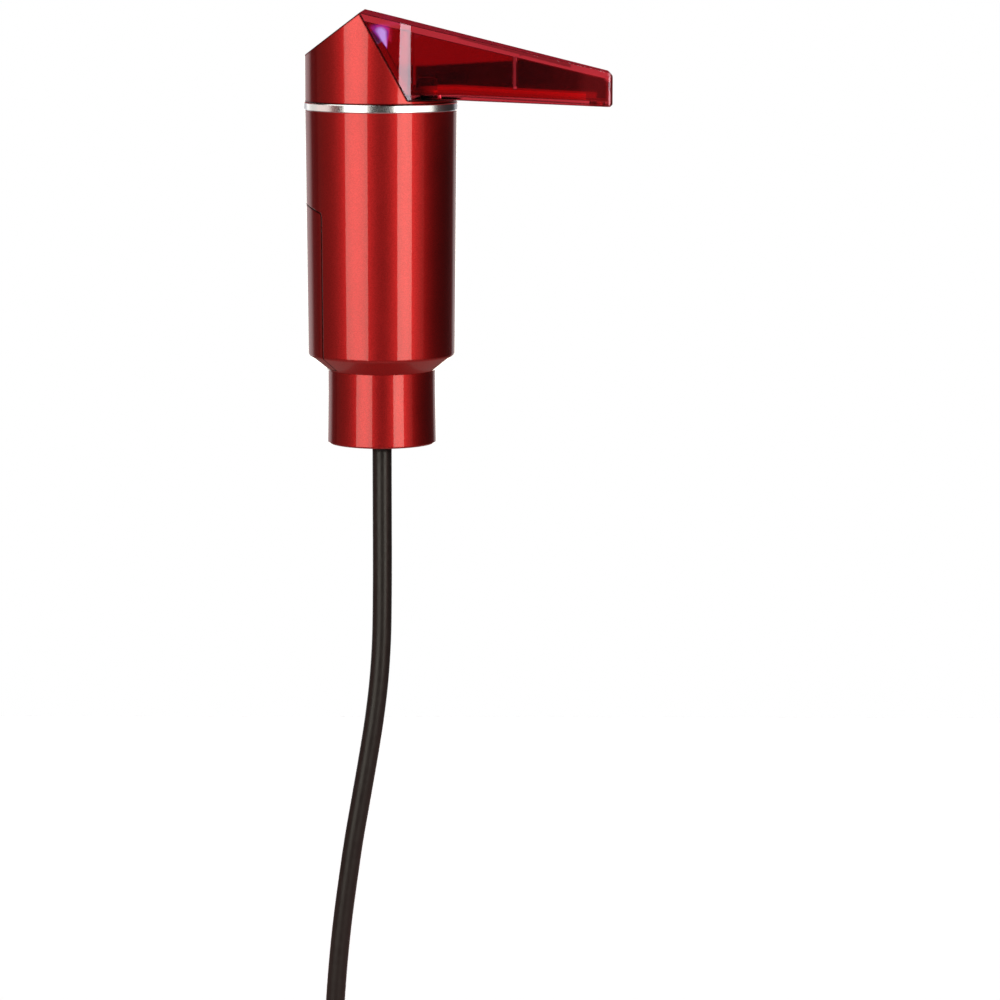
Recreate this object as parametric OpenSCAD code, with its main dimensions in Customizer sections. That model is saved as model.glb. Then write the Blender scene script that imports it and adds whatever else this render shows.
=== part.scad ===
// Electric wine aerator that stands on a bottle: red body, pump, battery bay and beak spout.
// Millimetres, +Z up, spout along +X. The origin lies on the axis, on the seat of the bottle rim.

/* [Body] */
// Outer diameter of the body at its upper rim, and of the head
body_d = 54.2; // [53:0.2:60]
// How much narrower the body is just above its lower bevel
body_taper = 1.4; // [0:0.1:2]
// Height of the straight part of the body
body_h = 87.5; // [85:0.5:110]
// Wall of the body and of the battery cover
body_wall = 1.6; // [1.2:0.1:1.8]
// Height of the bevel between the body and the collar
bevel_h = 5.5; // [5.5:0.5:8]
// Outer diameter at the foot of the bevel
bevel_foot_d = 38.8; // [38.6:0.2:41]
// Radius that rounds the edge between the body's wall and the bevel
bevel_edge_r = 1.5; // [1:0.5:4]

/* [Battery cover] */
// Height of the cover from the foot of the bevel to its upper edge
cover_h = 60; // [60:0.5:68]
// Angle that the cover takes of the body's girth
cover_angle = 80; // [80:1:100]
// Radius of the cover's two upper corners
cover_corner_r = 2.5; // [1:0.5:4]
// Radius of the arch along the cover's upper edge
cover_arch_r = 55; // [50:5:300]

/* [Collar and stopper] */
// Height of the collar
collar_h = 26.5; // [25:0.5:32]
// Outer diameter of the collar at its top
collar_top_d = 38.6; // [38:0.2:41]
// Outer diameter of the collar at its mouth
collar_bottom_d = 39.2; // [38:0.2:39.4]
// Wall of the collar's skirt
collar_wall = 1.5; // [1:0.1:2]
// Depth below the collar's top where its draft begins
collar_crease = 8.2; // [4:0.2:14]
// Thickness of the web that closes the collar's top
collar_web = 2; // [1.5:0.5:3]
// Depth of the collar's mouth below the seat of the bottle rim
skirt_drop = 22; // [18:0.5:22]
// Diameter of the stopper's plug, the bore of a bottle neck
plug_d = 18.5; // [17.5:0.1:20]
// Length of the plug's straight wall
plug_l = 16; // [10:0.5:20]
// Length of the plug's tapered nose
nose_l = 6; // [3:0.5:8]
// Diameter at the tip of the nose
nose_d = 15.6; // [14:0.2:17]
// Diameter of the stopper's flange, which seals on the bottle rim
flange_d = 31; // [28:0.5:34]
// Thickness of the stopper's flange
flange_t = 2; // [1.5:0.5:2]

/* [Intake] */
// Outer diameter of the dip tube
hose_od = 7; // [6:0.2:8]
// Inner diameter of the dip tube
hose_id = 5; // [4.6:0.2:5.4]
// Length of the barbed end inside the dip tube
barb_l = 12; // [8:1:18]
// Bore of the intake barb
intake_bore_d = 3; // [2.4:0.2:3.4]

/* [Trim ring] */
// Height of the bright ring under the head
ring_h = 2.8; // [2.4:0.2:5]
// How far the ring stands out from the body
ring_proud = 0.3; // [0.1:0.1:1]

/* [Head] */
// Height of the head's rear wall above the ring
head_rear_h = 16.5; // [15:0.5:20]
// Height of the ridge above the ring
ridge_h = 32.1; // [31.5:0.1:36]
// Distance of the ridge behind the body's axis
ridge_back = 6.6; // [5:0.2:7]
// Place of the foot of the spout's seam, as a share of the head's radius from the axis
seam_share = 0.37; // [0.35:0.01:0.39]
// Height of the head's lip under the spout
lip_h = 1.5; // [1.2:0.1:3]
// Wall of the head
head_wall = 2; // [1.6:0.1:2.2]
// Diameter of the power button
button_d = 13; // [10:0.5:15]
// Distance that the button travels
button_travel = 0.8; // [0.4:0.1:1]

/* [Spout] */
// Reach of the spout's tip from the axis
spout_reach = 82.3; // [70:0.5:110]
// Fall of the spout's top, in degrees
spout_top_fall = 13.6; // [12:0.1:14.2]
// Fall of the spout's underside, in degrees
spout_floor_fall = 3; // [1:0.5:5]
// Width of the tip
tip_w = 17; // [14:0.5:24]
// Radius of the tip's upper corner
tip_r = 2.2; // [1:0.2:4]
// Wall of the spout
spout_wall = 1.8; // [1.4:0.1:2]
// Thickness of the spout's top
spout_top_t = 2.4; // [1.6:0.1:3]
// Angle from the spout's direction where its flat sides leave the round part
crease_a = 66; // [60:1:72]
// Diameter of the outlet in the tip
outlet_d = 7; // [5:0.2:7]
// Distance of the outlet's centre behind the tip
outlet_back = 5.5; // [5.4:0.1:6.5]
// Place of the aerating nozzle, as a share of the head's radius from the axis
nozzle_share = 0.595; // [0.59:0.005:0.61]
// Width of the pouring channel
channel_w = 10; // [9.5:0.5:11]
// Height of the pouring channel
channel_h = 2.6; // [2:0.2:4]

/* [Batteries] */
// Diameter of a cell
cell_d = 10.5; // [10:0.1:10.8]
// Length of a cell with its positive nub
cell_l = 44.5; // [43:0.1:45]
// Length of a contact spring with the cell in place
spring_l = 4.2; // [4:0.1:4.6]
// Wall of the battery holder
holder_wall = 1.2; // [1:0.1:1.4]

/* [Motor and pump] */
// Diameter of the motor's can
motor_d = 15.6; // [14:0.2:17]
// Width of the can across its flats
motor_flat = 12.2; // [11:0.2:13]
// Length of the can
motor_l = 26; // [22:0.5:32]
// Diameter of the motor shaft
shaft_d = 2; // [1.8:0.1:2.3]
// Teeth on each pump gear
gear_teeth = 10; // [9:1:12]
// Module of the pump gears
gear_module = 0.8; // [0.7:0.05:1]
// Width of the pump gears
gear_w = 7.8; // [6:0.2:9]
// Wall of the pump round its gears
pump_wall = 2.4; // [2.2:0.1:3]

/* [Hidden] */
$fn = 96;

// Colours
red = "firebrick";
clear_red = [0.7, 0.05, 0.08, 0.6];
dark_plastic = [0.2, 0.2, 0.22];
pale_plastic = [0.85, 0.85, 0.82];
steel = [0.75, 0.76, 0.78];
silicone = [0.15, 0.15, 0.16];

// Clearances
slip = 0.1;
run_gap = 0.05;
seam_gap = 0.3;
cut = 1;

// Screws: shank, head, and the least distance of a screw from an edge
screw_r = 1;
screw_head_r = 1.9;
screw_head_h = 1.6;
screw_seat = 2.4;

// Levels of the outer pieces
collar_top_z = collar_h - skirt_drop;
bevel_top_z = collar_top_z + bevel_h;
body_top_z = bevel_top_z + body_h;
head_z = body_top_z + ring_h;
cover_top_z = collar_top_z + cover_h;

// Body outline: a drafted wall on a bevel
body_top_r = body_d / 2;
body_bottom_r = body_top_r - body_taper / 2;
head_d = body_d;
ring_d = body_d + 2 * ring_proud;
bevel_foot_r = bevel_foot_d / 2;
body_draft = (body_top_r - body_bottom_r) / body_h;
bevel_slope = (body_bottom_r - bevel_foot_r) / bevel_h;
bevel_skin = body_wall * sqrt(1 + bevel_slope * bevel_slope);
bevel_a = atan(1 / bevel_slope);
edge_setback = bevel_edge_r * tan((90 - bevel_a) / 2);
function body_r(z) = body_bottom_r + body_draft * (z - bevel_top_z);
function bevel_r(z) = bevel_foot_r + bevel_slope * (z - collar_top_z);
inner_corner_z = (body_bottom_r - body_draft * bevel_top_z - body_wall - bevel_foot_r
    + bevel_slope * collar_top_z + bevel_skin) / (bevel_slope - body_draft);
body_floor_r = bevel_foot_r - bevel_skin;
cover_half_a = cover_angle / 2;
cover_foot_r = collar_bottom_d / 2 + seam_gap;

// Stopper and intake
plug_r = plug_d / 2;
neck_r = 6.5;
bead_r = 8;
bead_h = 1.5;
bead_bevel = 0.5;
boss_r = 4.4;
boss_end_z = 1;
barb_r = 2.9;
stem_r = 2.4;
stem_l = 5;
vent_r = 1;
vent_x = 6;
vent_slot = 0.9;
hose_drop = 1;
hose_top_z = -plug_l - nose_l - hose_drop;
barb_count = 3;
barb_fit = 0.15;
barb_crest = 0.1;
barb_root = 0.25;

// Chassis: floor, spine and deck
floor_rise = 4;
floor_z = collar_top_z + floor_rise;
floor_t = 4.5;
floor_gap = 0.2;
floor_top_z = floor_z + floor_t;
deck_t = 2;
deck_z = body_top_z - deck_t;
deck_r = body_r(deck_z) - body_wall - seam_gap;
spine_t = 1.5;
spine_slope = 4;
spine_in = 10;
post_r = 2;
post_x = -3;
post_y = sqrt(pow(body_floor_r - post_r - seam_gap, 2) - post_x * post_x);

// Battery bay: two rows of two cells behind the spine
cell_r = cell_d / 2;
cell_gap = 0.25;
cell_clear = 0.4;
cell_y = cell_r + cell_gap;
bay_r = body_r(floor_top_z) - body_wall;
back_x = -sqrt(pow(bay_r - cell_clear - cell_r, 2) - cell_y * cell_y);
front_x = back_x + cell_d + 2 * cell_gap;
holder_front_x = front_x + cell_r + cell_gap + holder_wall;
holder_half_w = cell_y + cell_r + cell_gap + holder_wall;
contact_t = 0.4;
bay_z = floor_top_z + holder_wall + contact_t;
bay_top_z = bay_z + cell_l + spring_l;
holder_top_z = bay_top_z + contact_t + holder_wall;
spine_x = holder_front_x;
spine_front_x = spine_x + spine_t;
nub_r = 1.9;
nub_h = 1;
spring_wire_r = 0.35;
spring_turns = 3;
spring_base_r = 3.6;
spring_tip_r = 2.4;
spring_sides = 6;
plate_w = cell_d - 2;

// Rails of the holder and hooks of the cover
rail_w = 1.1;
rail_t = 1;
rail_in = 0.6;
rail_end = 2;
hook_t = 1;
rail_x = -sqrt(pow(bay_r - rail_in, 2) - pow(holder_half_w + rail_w, 2));
hook_y = holder_half_w + rail_w + seam_gap;
hook_x = rail_x + rail_t + seam_gap;
hook_z = floor_top_z + rail_end;
hook_top_z = holder_top_z - rail_end - 1;
tongue_w = 6;
tongue_h = 6;
tongue_t = 1.2;
tongue_up = 3;
tongue_r = body_r(cover_top_z) - body_wall - seam_gap;
hook_path_r = norm([hook_x + hook_t, holder_half_w + seam_gap]);
floor_r = min(bevel_r(floor_z) - bevel_skin - floor_gap, hook_path_r - seam_gap);

// Pump and motor in front of the spine
gear_pitch_r = gear_module * gear_teeth / 2;
pressure_a = 25;
gear_base_r = gear_pitch_r * cos(pressure_a);
addendum = 0.8;
dedendum = 1.05;
gear_tip_r = gear_pitch_r + addendum * gear_module;
gear_root_r = gear_pitch_r - dedendum * gear_module;
flank_thin = 0.1;
half_tooth_a = 90 / gear_teeth - flank_thin / gear_pitch_r * 180 / PI;
flank_steps = 4;
gear_face_gap = 0.1;
gear_cavity_r = gear_tip_r + slip;
gasket_t = 0.5;
pump_gap = 1;
pump_z = floor_top_z + gasket_t;
pump_h = gear_w + 2 * gear_face_gap;
pump_lid_z = pump_z + pump_h;
pump_lid_t = 4.5;
pump_top_z = pump_lid_z + pump_lid_t;
pump_half_x = gear_cavity_r + pump_wall;
pump_half_y = gear_pitch_r + gear_cavity_r + pump_wall;
pump_x = spine_front_x + pump_half_x + pump_gap;
pump_corner_r = 2.5;
port_out = 0.5;
port_off = sqrt(pow(gear_cavity_r, 2) - pow(gear_pitch_r, 2)) + port_out;
port_r = 1.6;
passage_z = floor_z + floor_t / 2;
passage_r = 1.4;
riser_r = 1.6;
duct_r = 1.1;
duct_riser_r = 1.3;
duct_rise = 2.6;
duct_z = pump_lid_z + duct_rise;
nipple_r = 2.1;
nipple_l = 9;
nipple_off = 5;
nipple_y = motor_d / 2 - gear_pitch_r + nipple_off;
pin_r = 1.5;
pin_depth = 2;
pin_socket = 1;
lid_floor = 1;
motor_y = -gear_pitch_r;
motor_r = motor_d / 2;
shaft_r = shaft_d / 2;
motor_z = pump_top_z;
motor_top_z = motor_z + motor_l;
hub_r = 3;
hub_h = 1.2;
bell_t = 2.5;
bell_in = 0.6;
seal_r = 3.2;
terminal_h = 4;
terminal_off = 5.5;
clamp_t = 1.2;
clamp_h = 12;
clamp_rise = 8;
clamp_z = motor_z + clamp_rise;
clamp_mid_z = clamp_z + clamp_h / 2;
clamp_ear_w = 5.5;
clamp_half_y = motor_r + clamp_ear_w;
clamp_ear_y = clamp_half_y - screw_seat;
pump_screw_y = pump_half_y - screw_seat;
pump_screw_x = pump_half_x - screw_seat;

// Control board on the spine
board_t = 1.4;
board_off = 2;
board_gap = 3;
board_x = spine_front_x + board_off;
board_z = motor_top_z + bell_t + terminal_h + board_gap;
board_h = 24;
board_half_w = 11;
standoff_y = 8.5;
standoff_r = 2;

// Components: size away from, across and along the board, and place from its middle
chip_size = [1.6, 5, 4];
chip_at = [-4, 1];
coil_size = [3, 4.6, 4.6];
coil_at = [-6.6, -6];
diode_size = [1, 1.6, 3.2];
diode_at = [-9.5, -4];
capacitor_r = 2;
capacitor_h = 3.2;
capacitor_at = [-6, 6];

// Head: rear slope, seam plane and lip, as lines in the XZ plane above the ring
head_r = head_d / 2;
slope_run = head_r - ridge_back;
seam_foot = seam_share * head_r;
slope_a = atan2(ridge_h - head_rear_h, slope_run);
seam_a = atan2(seam_foot + ridge_back, ridge_h - lip_h);
spigot_in = 3.5;
spigot_r = ring_d / 2 - spigot_in;
ring_bevel = 0.3;
spigot_wall = 1.5;
sill_h = 1.6;
slope_mid_x = -ridge_back - slope_run / 2;
slope_mid_z = head_z + (head_rear_h + ridge_h) / 2;
button_gap = 0.25;
button_flange_t = 1.2;
button_flange_w = 1.2;
button_stem_w = 0.6;
button_dish_r = 60;
button_dish = 0.35;
switch_depth = 9.5;
switch_size = 6;
switch_h = 3.5;
plunger_r = 1.65;
plunger_top = 1.5;
switch_floor = 0.4;
switch_screw_l = 4;
switch_board_t = 1.2;
switch_board_half_x = 6;
switch_board_half_y = 12;
switch_post_y = 9.5;
switch_post_r = 1.8;
led_r = 2.5;
led_h = 23;
led_flange_w = 0.4;
led_flange_t = 1;
led_reach = 4.5;
led_lead_r = 0.25;
led_lead_l = 1.8;
led_lead_y = 0.6;
led_x = -ridge_back + (ridge_h - led_h) * tan(seam_a);
head_post_r = 2.4;
head_post_h = 4;
head_post_off = spigot_r - spigot_wall / 2 - head_post_r;
head_post_a = 25;
head_posts = [
    [-head_post_off, 0], [head_post_off * cos(head_post_a), head_post_off * sin(head_post_a)],
    [head_post_off * cos(head_post_a), -head_post_off * sin(head_post_a)]
];

// Spout outline: side view above the ring, and plan view
crease_x = head_r * cos(crease_a);
crease_y = head_r * sin(crease_a);
side_slope = (tip_w / 2 - crease_y) / (spout_reach - crease_x);
tip_plan_r = 1.5;
tip_bevel = 1;
function spout_top_z(x) = ridge_h - (x + ridge_back) * tan(spout_top_fall);
function spout_floor_z(x) = lip_h - max(0, x - head_r) * tan(spout_floor_fall);
function spout_side_y(x) = crease_y + side_slope * (x - crease_x);
spout_top_skin = spout_top_t / cos(spout_top_fall);
nozzle_x = nozzle_share * head_r;
outlet_x = spout_reach - outlet_back;
rib_t = 1.2;
rib_share = 0.36;
rib_x = head_r + rib_share * (spout_reach - head_r);
rib_gap = 0.4;
channel_t = 1;
channel_end_x = outlet_x - outlet_d / 2 - rib_gap;
nozzle_r = 3.8;
nozzle_flange_r = 6;
nozzle_flange_t = 1.1;
nozzle_spigot_r = 2.1;
nozzle_spigot_l = 9.5;
nozzle_bore_r = 1.5;
nozzle_stand = 5.5;
nozzle_top = lip_h + spout_wall + nozzle_stand;
nozzle_edge_r = 1.5;
jet_r = 0.9;
jet_drop = 2.2;

// Delivery tube from the pump to the nozzle
delivery_r = 3;
delivery_bore_r = 2.2;
delivery_top_z = deck_z - 2 * slip;
bend_end = 8;
bend_steps = 8;
bend_z = motor_top_z + bend_end;
bend_top_z = delivery_top_z - bend_end;

// Dip tube route: straight through the bottle's neck, then a slow bend towards the wall
hose_route = [
    [0, 0, hose_top_z], [0, 0, -36], [0, 0, -50], [0, 0, -65], [-0.1, 0, -80], [-0.4, 0, -95],
    [-1.4, 0, -110], [-3.2, 0, -125], [-5.6, 0, -140], [-8.2, 0, -155], [-10.8, 0, -170], [-13, 0, -185],
    [-15, 0, -200], [-16.6, 0, -215], [-17.8, 0, -230], [-18.6, 0, -245], [-19, 0, -260], [-19, 0, -277]
];
hose_sides = 10;
wire_r = 0.6;
wire_sides = 6;
wire_step = 4;
wire_rise = 3;
wire_lean = 1.5;
wire_pair_y = 1.5;
wire_hole_r = 3;
wire_hole_x = spine_front_x + wire_step;
lead_mid_y = -1;
lead_off = 3;

// Helpers for swept tubes
function unit(v) = v / norm(v);
function tangent(p, i) = unit(p[min(i + 1, len(p) - 1)] - p[max(i - 1, 0)]);
function side_axis(p, i, ref) = unit(cross(tangent(p, i), ref));
function ring_points(p, i, r, n, ref) = [
    for (k = [0 : n - 1])
        p[i] + r * (cos(360 * k / n) * side_axis(p, i, ref)
            + sin(360 * k / n) * cross(tangent(p, i), side_axis(p, i, ref)))
];
function tube_wall(n, rings, first, step) = [
    for (i = [0 : rings - 2], k = [0 : n - 1])
        let (a = first + i * step, b = a + step, m = (k + 1) % n)
            each [[a + k, b + k, b + m], [a + k, b + m, a + m]]
];
function flip(faces) = [for (f = faces) [f[2], f[1], f[0]]];

// Solid tube along a list of points
module sweep(p, r, n, ref) {
    rings = len(p);
    points = [for (i = [0 : rings - 1]) each ring_points(p, i, r, n, ref)];
    last = (rings - 1) * n;
    caps = concat([[for (k = [0 : n - 1]) k]], [[for (k = [n - 1 : -1 : 0]) last + k]]);
    polyhedron(points, concat(tube_wall(n, rings, 0, n), caps), convexity = 6);
}

// Hollow tube along a list of points; the bore's flats lie at bore_r
module pipe(p, r, bore_r, n, ref) {
    rings = len(p);
    inner_r = bore_r / cos(180 / n);
    outer = [for (i = [0 : rings - 1]) each ring_points(p, i, r, n, ref)];
    inner = [for (i = [0 : rings - 1]) each ring_points(p, i, inner_r, n, ref)];
    from = rings * n;
    last = (rings - 1) * n;
    rims = [
        for (k = [0 : n - 1])
            let (m = (k + 1) % n)
                each [
                    [k, m, from + m], [k, from + m, from + k],
                    [last + m, last + k, from + last + k], [last + m, from + last + k, from + last + m]
                ]
    ];
    walls = concat(tube_wall(n, rings, 0, n), flip(tube_wall(n, rings, from, n)));
    polyhedron(concat(outer, inner), concat(walls, rims), convexity = 8);
}

// Arc of points round a centre, from one angle to another
function arc(c, r, a0, a1, n) = [
    for (i = [0 : n])
        let (a = a0 + (a1 - a0) * i / n)
            c + r * [cos(a), sin(a)]
];

// Outline with round corners
module round_rect(half_x, half_y, r) {
    polygon(concat(
        arc([half_x - r, half_y - r], r, 0, 90, 6), arc([r - half_x, half_y - r], r, 90, 180, 6),
        arc([r - half_x, r - half_y], r, 180, 270, 6), arc([half_x - r, r - half_y], r, 270, 360, 6)
    ));
}

// Side view in X and Z, drawn out to both sides of the XZ plane
module side_slab(width) {
    rotate([90, 0, 0]) {
        linear_extrude(width, center = true) {
            children();
        }
    }
}

// Pan-head screw with its seat at the origin and its shank pointing down
module screw(length) {
    cylinder(r = screw_head_r, h = screw_head_h);
    translate([0, 0, -length]) {
        cylinder(r = screw_r, h = length + cut / 2);
    }
}

// Places on the rear slope: local +Z leaves the head, +X climbs to the ridge
module on_slope() {
    translate([slope_mid_x, 0, slope_mid_z]) {
        rotate([0, -slope_a, 0]) {
            children();
        }
    }
}

// Body

module shell_skin() {
    rotate_extrude() {
        polygon(concat(
            [[body_floor_r, collar_top_z], [bevel_foot_r, collar_top_z]],
            arc([body_bottom_r - bevel_edge_r, bevel_top_z + edge_setback],
                bevel_edge_r, bevel_a - 90, 0, 5),
            [[body_top_r, body_top_z], [body_top_r - body_wall, body_top_z],
                [body_r(inner_corner_z) - body_wall, inner_corner_z]]
        ));
    }
}

// Opening of the battery bay, drawn in by a gap all round for the cover
module cover_window(gap) {
    half_a = cover_half_a - asin(gap / body_bottom_r);
    top_z = cover_top_z - gap;
    arch_r = cover_arch_r - gap;
    corner_r = cover_corner_r - gap;
    corner_y = body_bottom_r * sin(half_a) - corner_r;
    corner_z = top_z - arch_r + sqrt(arch_r * arch_r - corner_y * corner_y) - corner_r;
    foot_r = cover_foot_r + gap;
    difference() {
        intersection() {
            rotate_extrude(angle = 2 * half_a, start = 180 - half_a) {
                translate([foot_r, collar_top_z - cut]) {
                    square([body_top_r + cut - foot_r, top_z - collar_top_z + 2 * cut]);
                }
            }
            translate([0, 0, top_z - arch_r]) {
                rotate([0, -90, 0]) {
                    cylinder(r = arch_r, h = body_d);
                }
            }
        }
        for (s = [0, 1]) {
            mirror([0, s, 0]) {
                rotate([0, 0, 180 + half_a]) {
                    translate([foot_r - cut, 0, 0]) {
                        rotate([90, 0, 90]) {
                            linear_extrude(body_top_r + 3 * cut - foot_r) {
                                difference() {
                                    translate([-corner_r, corner_z]) {
                                        square(corner_r + cut);
                                    }
                                    translate([-corner_r, corner_z]) {
                                        circle(corner_r);
                                    }
                                }
                            }
                        }
                    }
                }
            }
        }
    }
}

module body_shell() {
    color(red) {
        difference() {
            shell_skin();
            cover_window(0);
        }
    }
}

// Hooks slide on the holder's rails, and a tongue tucks behind the body above the bay
module battery_cover() {
    color(red) {
        intersection() {
            shell_skin();
            cover_window(seam_gap);
        }
        for (s = [0, 1]) {
            mirror([0, s, 0]) {
                intersection() {
                    union() {
                        translate([-body_top_r, hook_y, hook_z]) {
                            cube([body_top_r + hook_x + hook_t, hook_t, hook_top_z - hook_z]);
                        }
                        translate([hook_x, holder_half_w + seam_gap, hook_z]) {
                            cube([hook_t, rail_w + cut / 2, hook_top_z - hook_z]);
                        }
                    }
                    cylinder(r = body_bottom_r - body_wall / 2, h = body_top_z);
                }
            }
        }
        intersection() {
            translate([-body_top_r, -tongue_w / 2, cover_top_z - tongue_h]) {
                cube([body_top_r - tongue_r + tongue_t, tongue_w, tongue_h + tongue_up]);
            }
            union() {
                cylinder(r = tongue_r, h = cover_top_z + tongue_up);
                cylinder(r = body_bottom_r - body_wall / 3, h = cover_top_z - 2 * seam_gap);
            }
        }
    }
}

module trim_ring() {
    ring_r = ring_d / 2;
    color(steel) {
        rotate_extrude() {
            polygon([
                [spigot_r + slip, body_top_z], [ring_r - ring_bevel, body_top_z],
                [ring_r, body_top_z + ring_bevel], [ring_r, head_z - ring_bevel],
                [ring_r - ring_bevel, head_z], [spigot_r + slip, head_z]
            ]);
        }
    }
}

// Collar, stopper and intake

module collar() {
    top_r = collar_top_d / 2;
    mouth_r = collar_bottom_d / 2;
    lip = 0.5;
    color(red) {
        difference() {
            union() {
                rotate_extrude() {
                    polygon([
                        [neck_r + slip, collar_top_z], [top_r, collar_top_z],
                        [top_r, collar_top_z - collar_crease], [mouth_r, lip - skirt_drop],
                        [mouth_r - lip, -skirt_drop], [mouth_r - collar_wall, -skirt_drop],
                        [top_r - collar_wall, collar_top_z - collar_crease],
                        [top_r - collar_wall, collar_top_z - collar_web],
                        [neck_r + slip, collar_top_z - collar_web]
                    ]);
                }
                for (y = [-post_y, post_y]) {
                    translate([post_x, y, collar_top_z - cut / 2]) {
                        cylinder(r = post_r, h = floor_z - collar_top_z + cut / 2);
                    }
                }
            }
            for (y = [-post_y, post_y]) {
                translate([post_x, y, collar_top_z - collar_web / 2]) {
                    cylinder(r = screw_r, h = floor_z);
                }
            }
        }
    }
}

module collar_screws() {
    color(steel) {
        for (y = [-post_y, post_y]) {
            translate([post_x, y, floor_top_z]) {
                screw(floor_top_z - collar_top_z);
            }
        }
    }
}

// Soft plug with a flange and an air channel; its neck buttons into the collar's web
module stopper() {
    flange_top = collar_top_z - collar_web;
    color(silicone) {
        difference() {
            rotate_extrude() {
                polygon([
                    [barb_r + slip, -plug_l - nose_l], [nose_d / 2, -plug_l - nose_l],
                    [plug_r, -plug_l], [plug_r, 0],
                    [flange_d / 2, 0], [flange_d / 2, flange_top], [neck_r, flange_top],
                    [neck_r, collar_top_z], [bead_r, collar_top_z],
                    [bead_r - bead_bevel, collar_top_z + bead_h],
                    [boss_r + slip, collar_top_z + bead_h],
                    [boss_r + slip, boss_end_z], [barb_r + slip, boss_end_z]
                ]);
            }
            translate([vent_x, 0, -plug_l - nose_l - cut]) {
                cylinder(r = vent_r, h = plug_l + nose_l + cut + flange_top - vent_slot / 2);
            }
            translate([vent_x - vent_r, -vent_r, flange_top - vent_slot]) {
                cube([flange_d / 2, 2 * vent_r, flange_t]);
            }
        }
    }
}

module intake_barb() {
    spigot_wall_r = hose_id / 2 - barb_fit;
    pitch = barb_l / barb_count;
    barbs = [
        for (i = [0 : barb_count - 1])
            each [
                [spigot_wall_r + barb_crest, hose_top_z - i * pitch],
                [spigot_wall_r - barb_root, hose_top_z - (i + 1) * pitch]
            ]
    ];
    color(pale_plastic) {
        rotate_extrude() {
            polygon(concat(
                [[intake_bore_d / 2, boss_end_z + stem_l], [stem_r, boss_end_z + stem_l],
                    [stem_r, boss_end_z], [barb_r, boss_end_z], [barb_r, hose_top_z]],
                barbs,
                [[intake_bore_d / 2, hose_top_z - barb_l]]
            ));
        }
    }
}

module dip_tube() {
    color(silicone) {
        pipe(hose_route, hose_od / 2, hose_id / 2, hose_sides, [0, 1, 0]);
    }
}

// Inner frame

module chassis() {
    color(dark_plastic) {
        difference() {
            union() {
                translate([0, 0, floor_z]) {
                    cylinder(r = floor_r, h = floor_t);
                }
                translate([0, 0, boss_end_z]) {
                    cylinder(r = boss_r, h = floor_z - boss_end_z + cut / 2);
                }
                translate([spine_x, 0, 0]) {
                    rotate([90, 0, 90]) {
                        linear_extrude(spine_t) {
                            spine_outline();
                        }
                    }
                }
                translate([0, 0, deck_z]) {
                    cylinder(r = deck_r, h = deck_t);
                }
                for (s = [-1, 1]) {
                    translate([spine_front_x - cut / 2, s * standoff_y, standoff_z(s)]) {
                        rotate([0, 90, 0]) {
                            cylinder(r = standoff_r, h = board_x - spine_front_x + cut / 2);
                        }
                    }
                }
            }
            intake_passage();
            chassis_holes();
        }
    }
}

function board_mid_z() = board_z + board_h / 2;
function standoff_z(s) = board_mid_z() + s * standoff_y;

// Spine seen from the front: narrow beside the pump, wide at the motor clamp
module spine_outline() {
    narrow = pump_half_y - pump_corner_r;
    middle = deck_r - spine_in;
    wide = clamp_half_y + gear_pitch_r;
    polygon([
        [-narrow, floor_top_z - cut / 2], [narrow, floor_top_z - cut / 2],
        [narrow, clamp_z - spine_slope], [middle, clamp_z],
        [middle, deck_z + cut / 2], [-middle, deck_z + cut / 2],
        [-middle, clamp_z + clamp_h + spine_slope],
        [-wide, clamp_z + clamp_h], [-wide, clamp_z], [-narrow, clamp_z - spine_slope]
    ]);
}

// Way for the wine from the barb to the pump's inlet port
module intake_passage() {
    translate([0, 0, boss_end_z - cut]) {
        cylinder(r = stem_r, h = stem_l + cut);
    }
    translate([0, 0, boss_end_z]) {
        cylinder(r = riser_r, h = passage_z + passage_r + slip - boss_end_z);
    }
    translate([0, 0, passage_z]) {
        rotate([0, 90, 0]) {
            cylinder(r = passage_r, h = pump_x - port_off);
        }
    }
    translate([pump_x - port_off, 0, passage_z - passage_r - slip]) {
        cylinder(r = port_r, h = floor_t);
    }
}

module chassis_holes() {
    for (y = [-post_y, post_y]) {
        translate([post_x, y, floor_z - cut]) {
            cylinder(r = screw_r + slip, h = floor_t + 2 * cut);
        }
    }
    at_pump_screws() {
        translate([0, 0, floor_z + cut / 2]) {
            cylinder(r = screw_r, h = floor_t);
        }
    }
    translate([pump_x, gear_pitch_r, floor_top_z - pin_depth]) {
        cylinder(r = pin_r, h = pin_depth + cut);
    }
    for (p = head_posts) {
        translate([p[0], p[1], deck_z - cut]) {
            cylinder(r = screw_r + slip, h = deck_t + 2 * cut);
        }
    }
    translate([nozzle_x, 0, deck_z - cut]) {
        cylinder(r = nozzle_spigot_r + slip, h = deck_t + 2 * cut);
    }
    translate([wire_hole_x, 0, deck_z - cut]) {
        cylinder(r = wire_hole_r, h = deck_t + 2 * cut);
    }
    for (s = [-1, 1]) {
        translate([spine_x - cut, motor_y + s * clamp_ear_y, clamp_mid_z]) {
            rotate([0, 90, 0]) {
                cylinder(r = screw_r, h = spine_t + 2 * cut);
            }
        }
        translate([spine_x - cut, s * standoff_y, standoff_z(s)]) {
            rotate([0, 90, 0]) {
                cylinder(r = screw_r, h = board_x - spine_x + 2 * cut);
            }
        }
        translate([spine_x - cut, s * cell_y, board_mid_z()]) {
            rotate([0, 90, 0]) {
                cylinder(r = 2 * wire_r, h = spine_t + 2 * cut);
            }
        }
    }
}

// Pump

module at_pump_screws() {
    for (sx = [-1, 1], sy = [-1, 1]) {
        translate([pump_x + sx * pump_screw_x, sy * pump_screw_y, 0]) {
            children();
        }
    }
}

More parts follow.
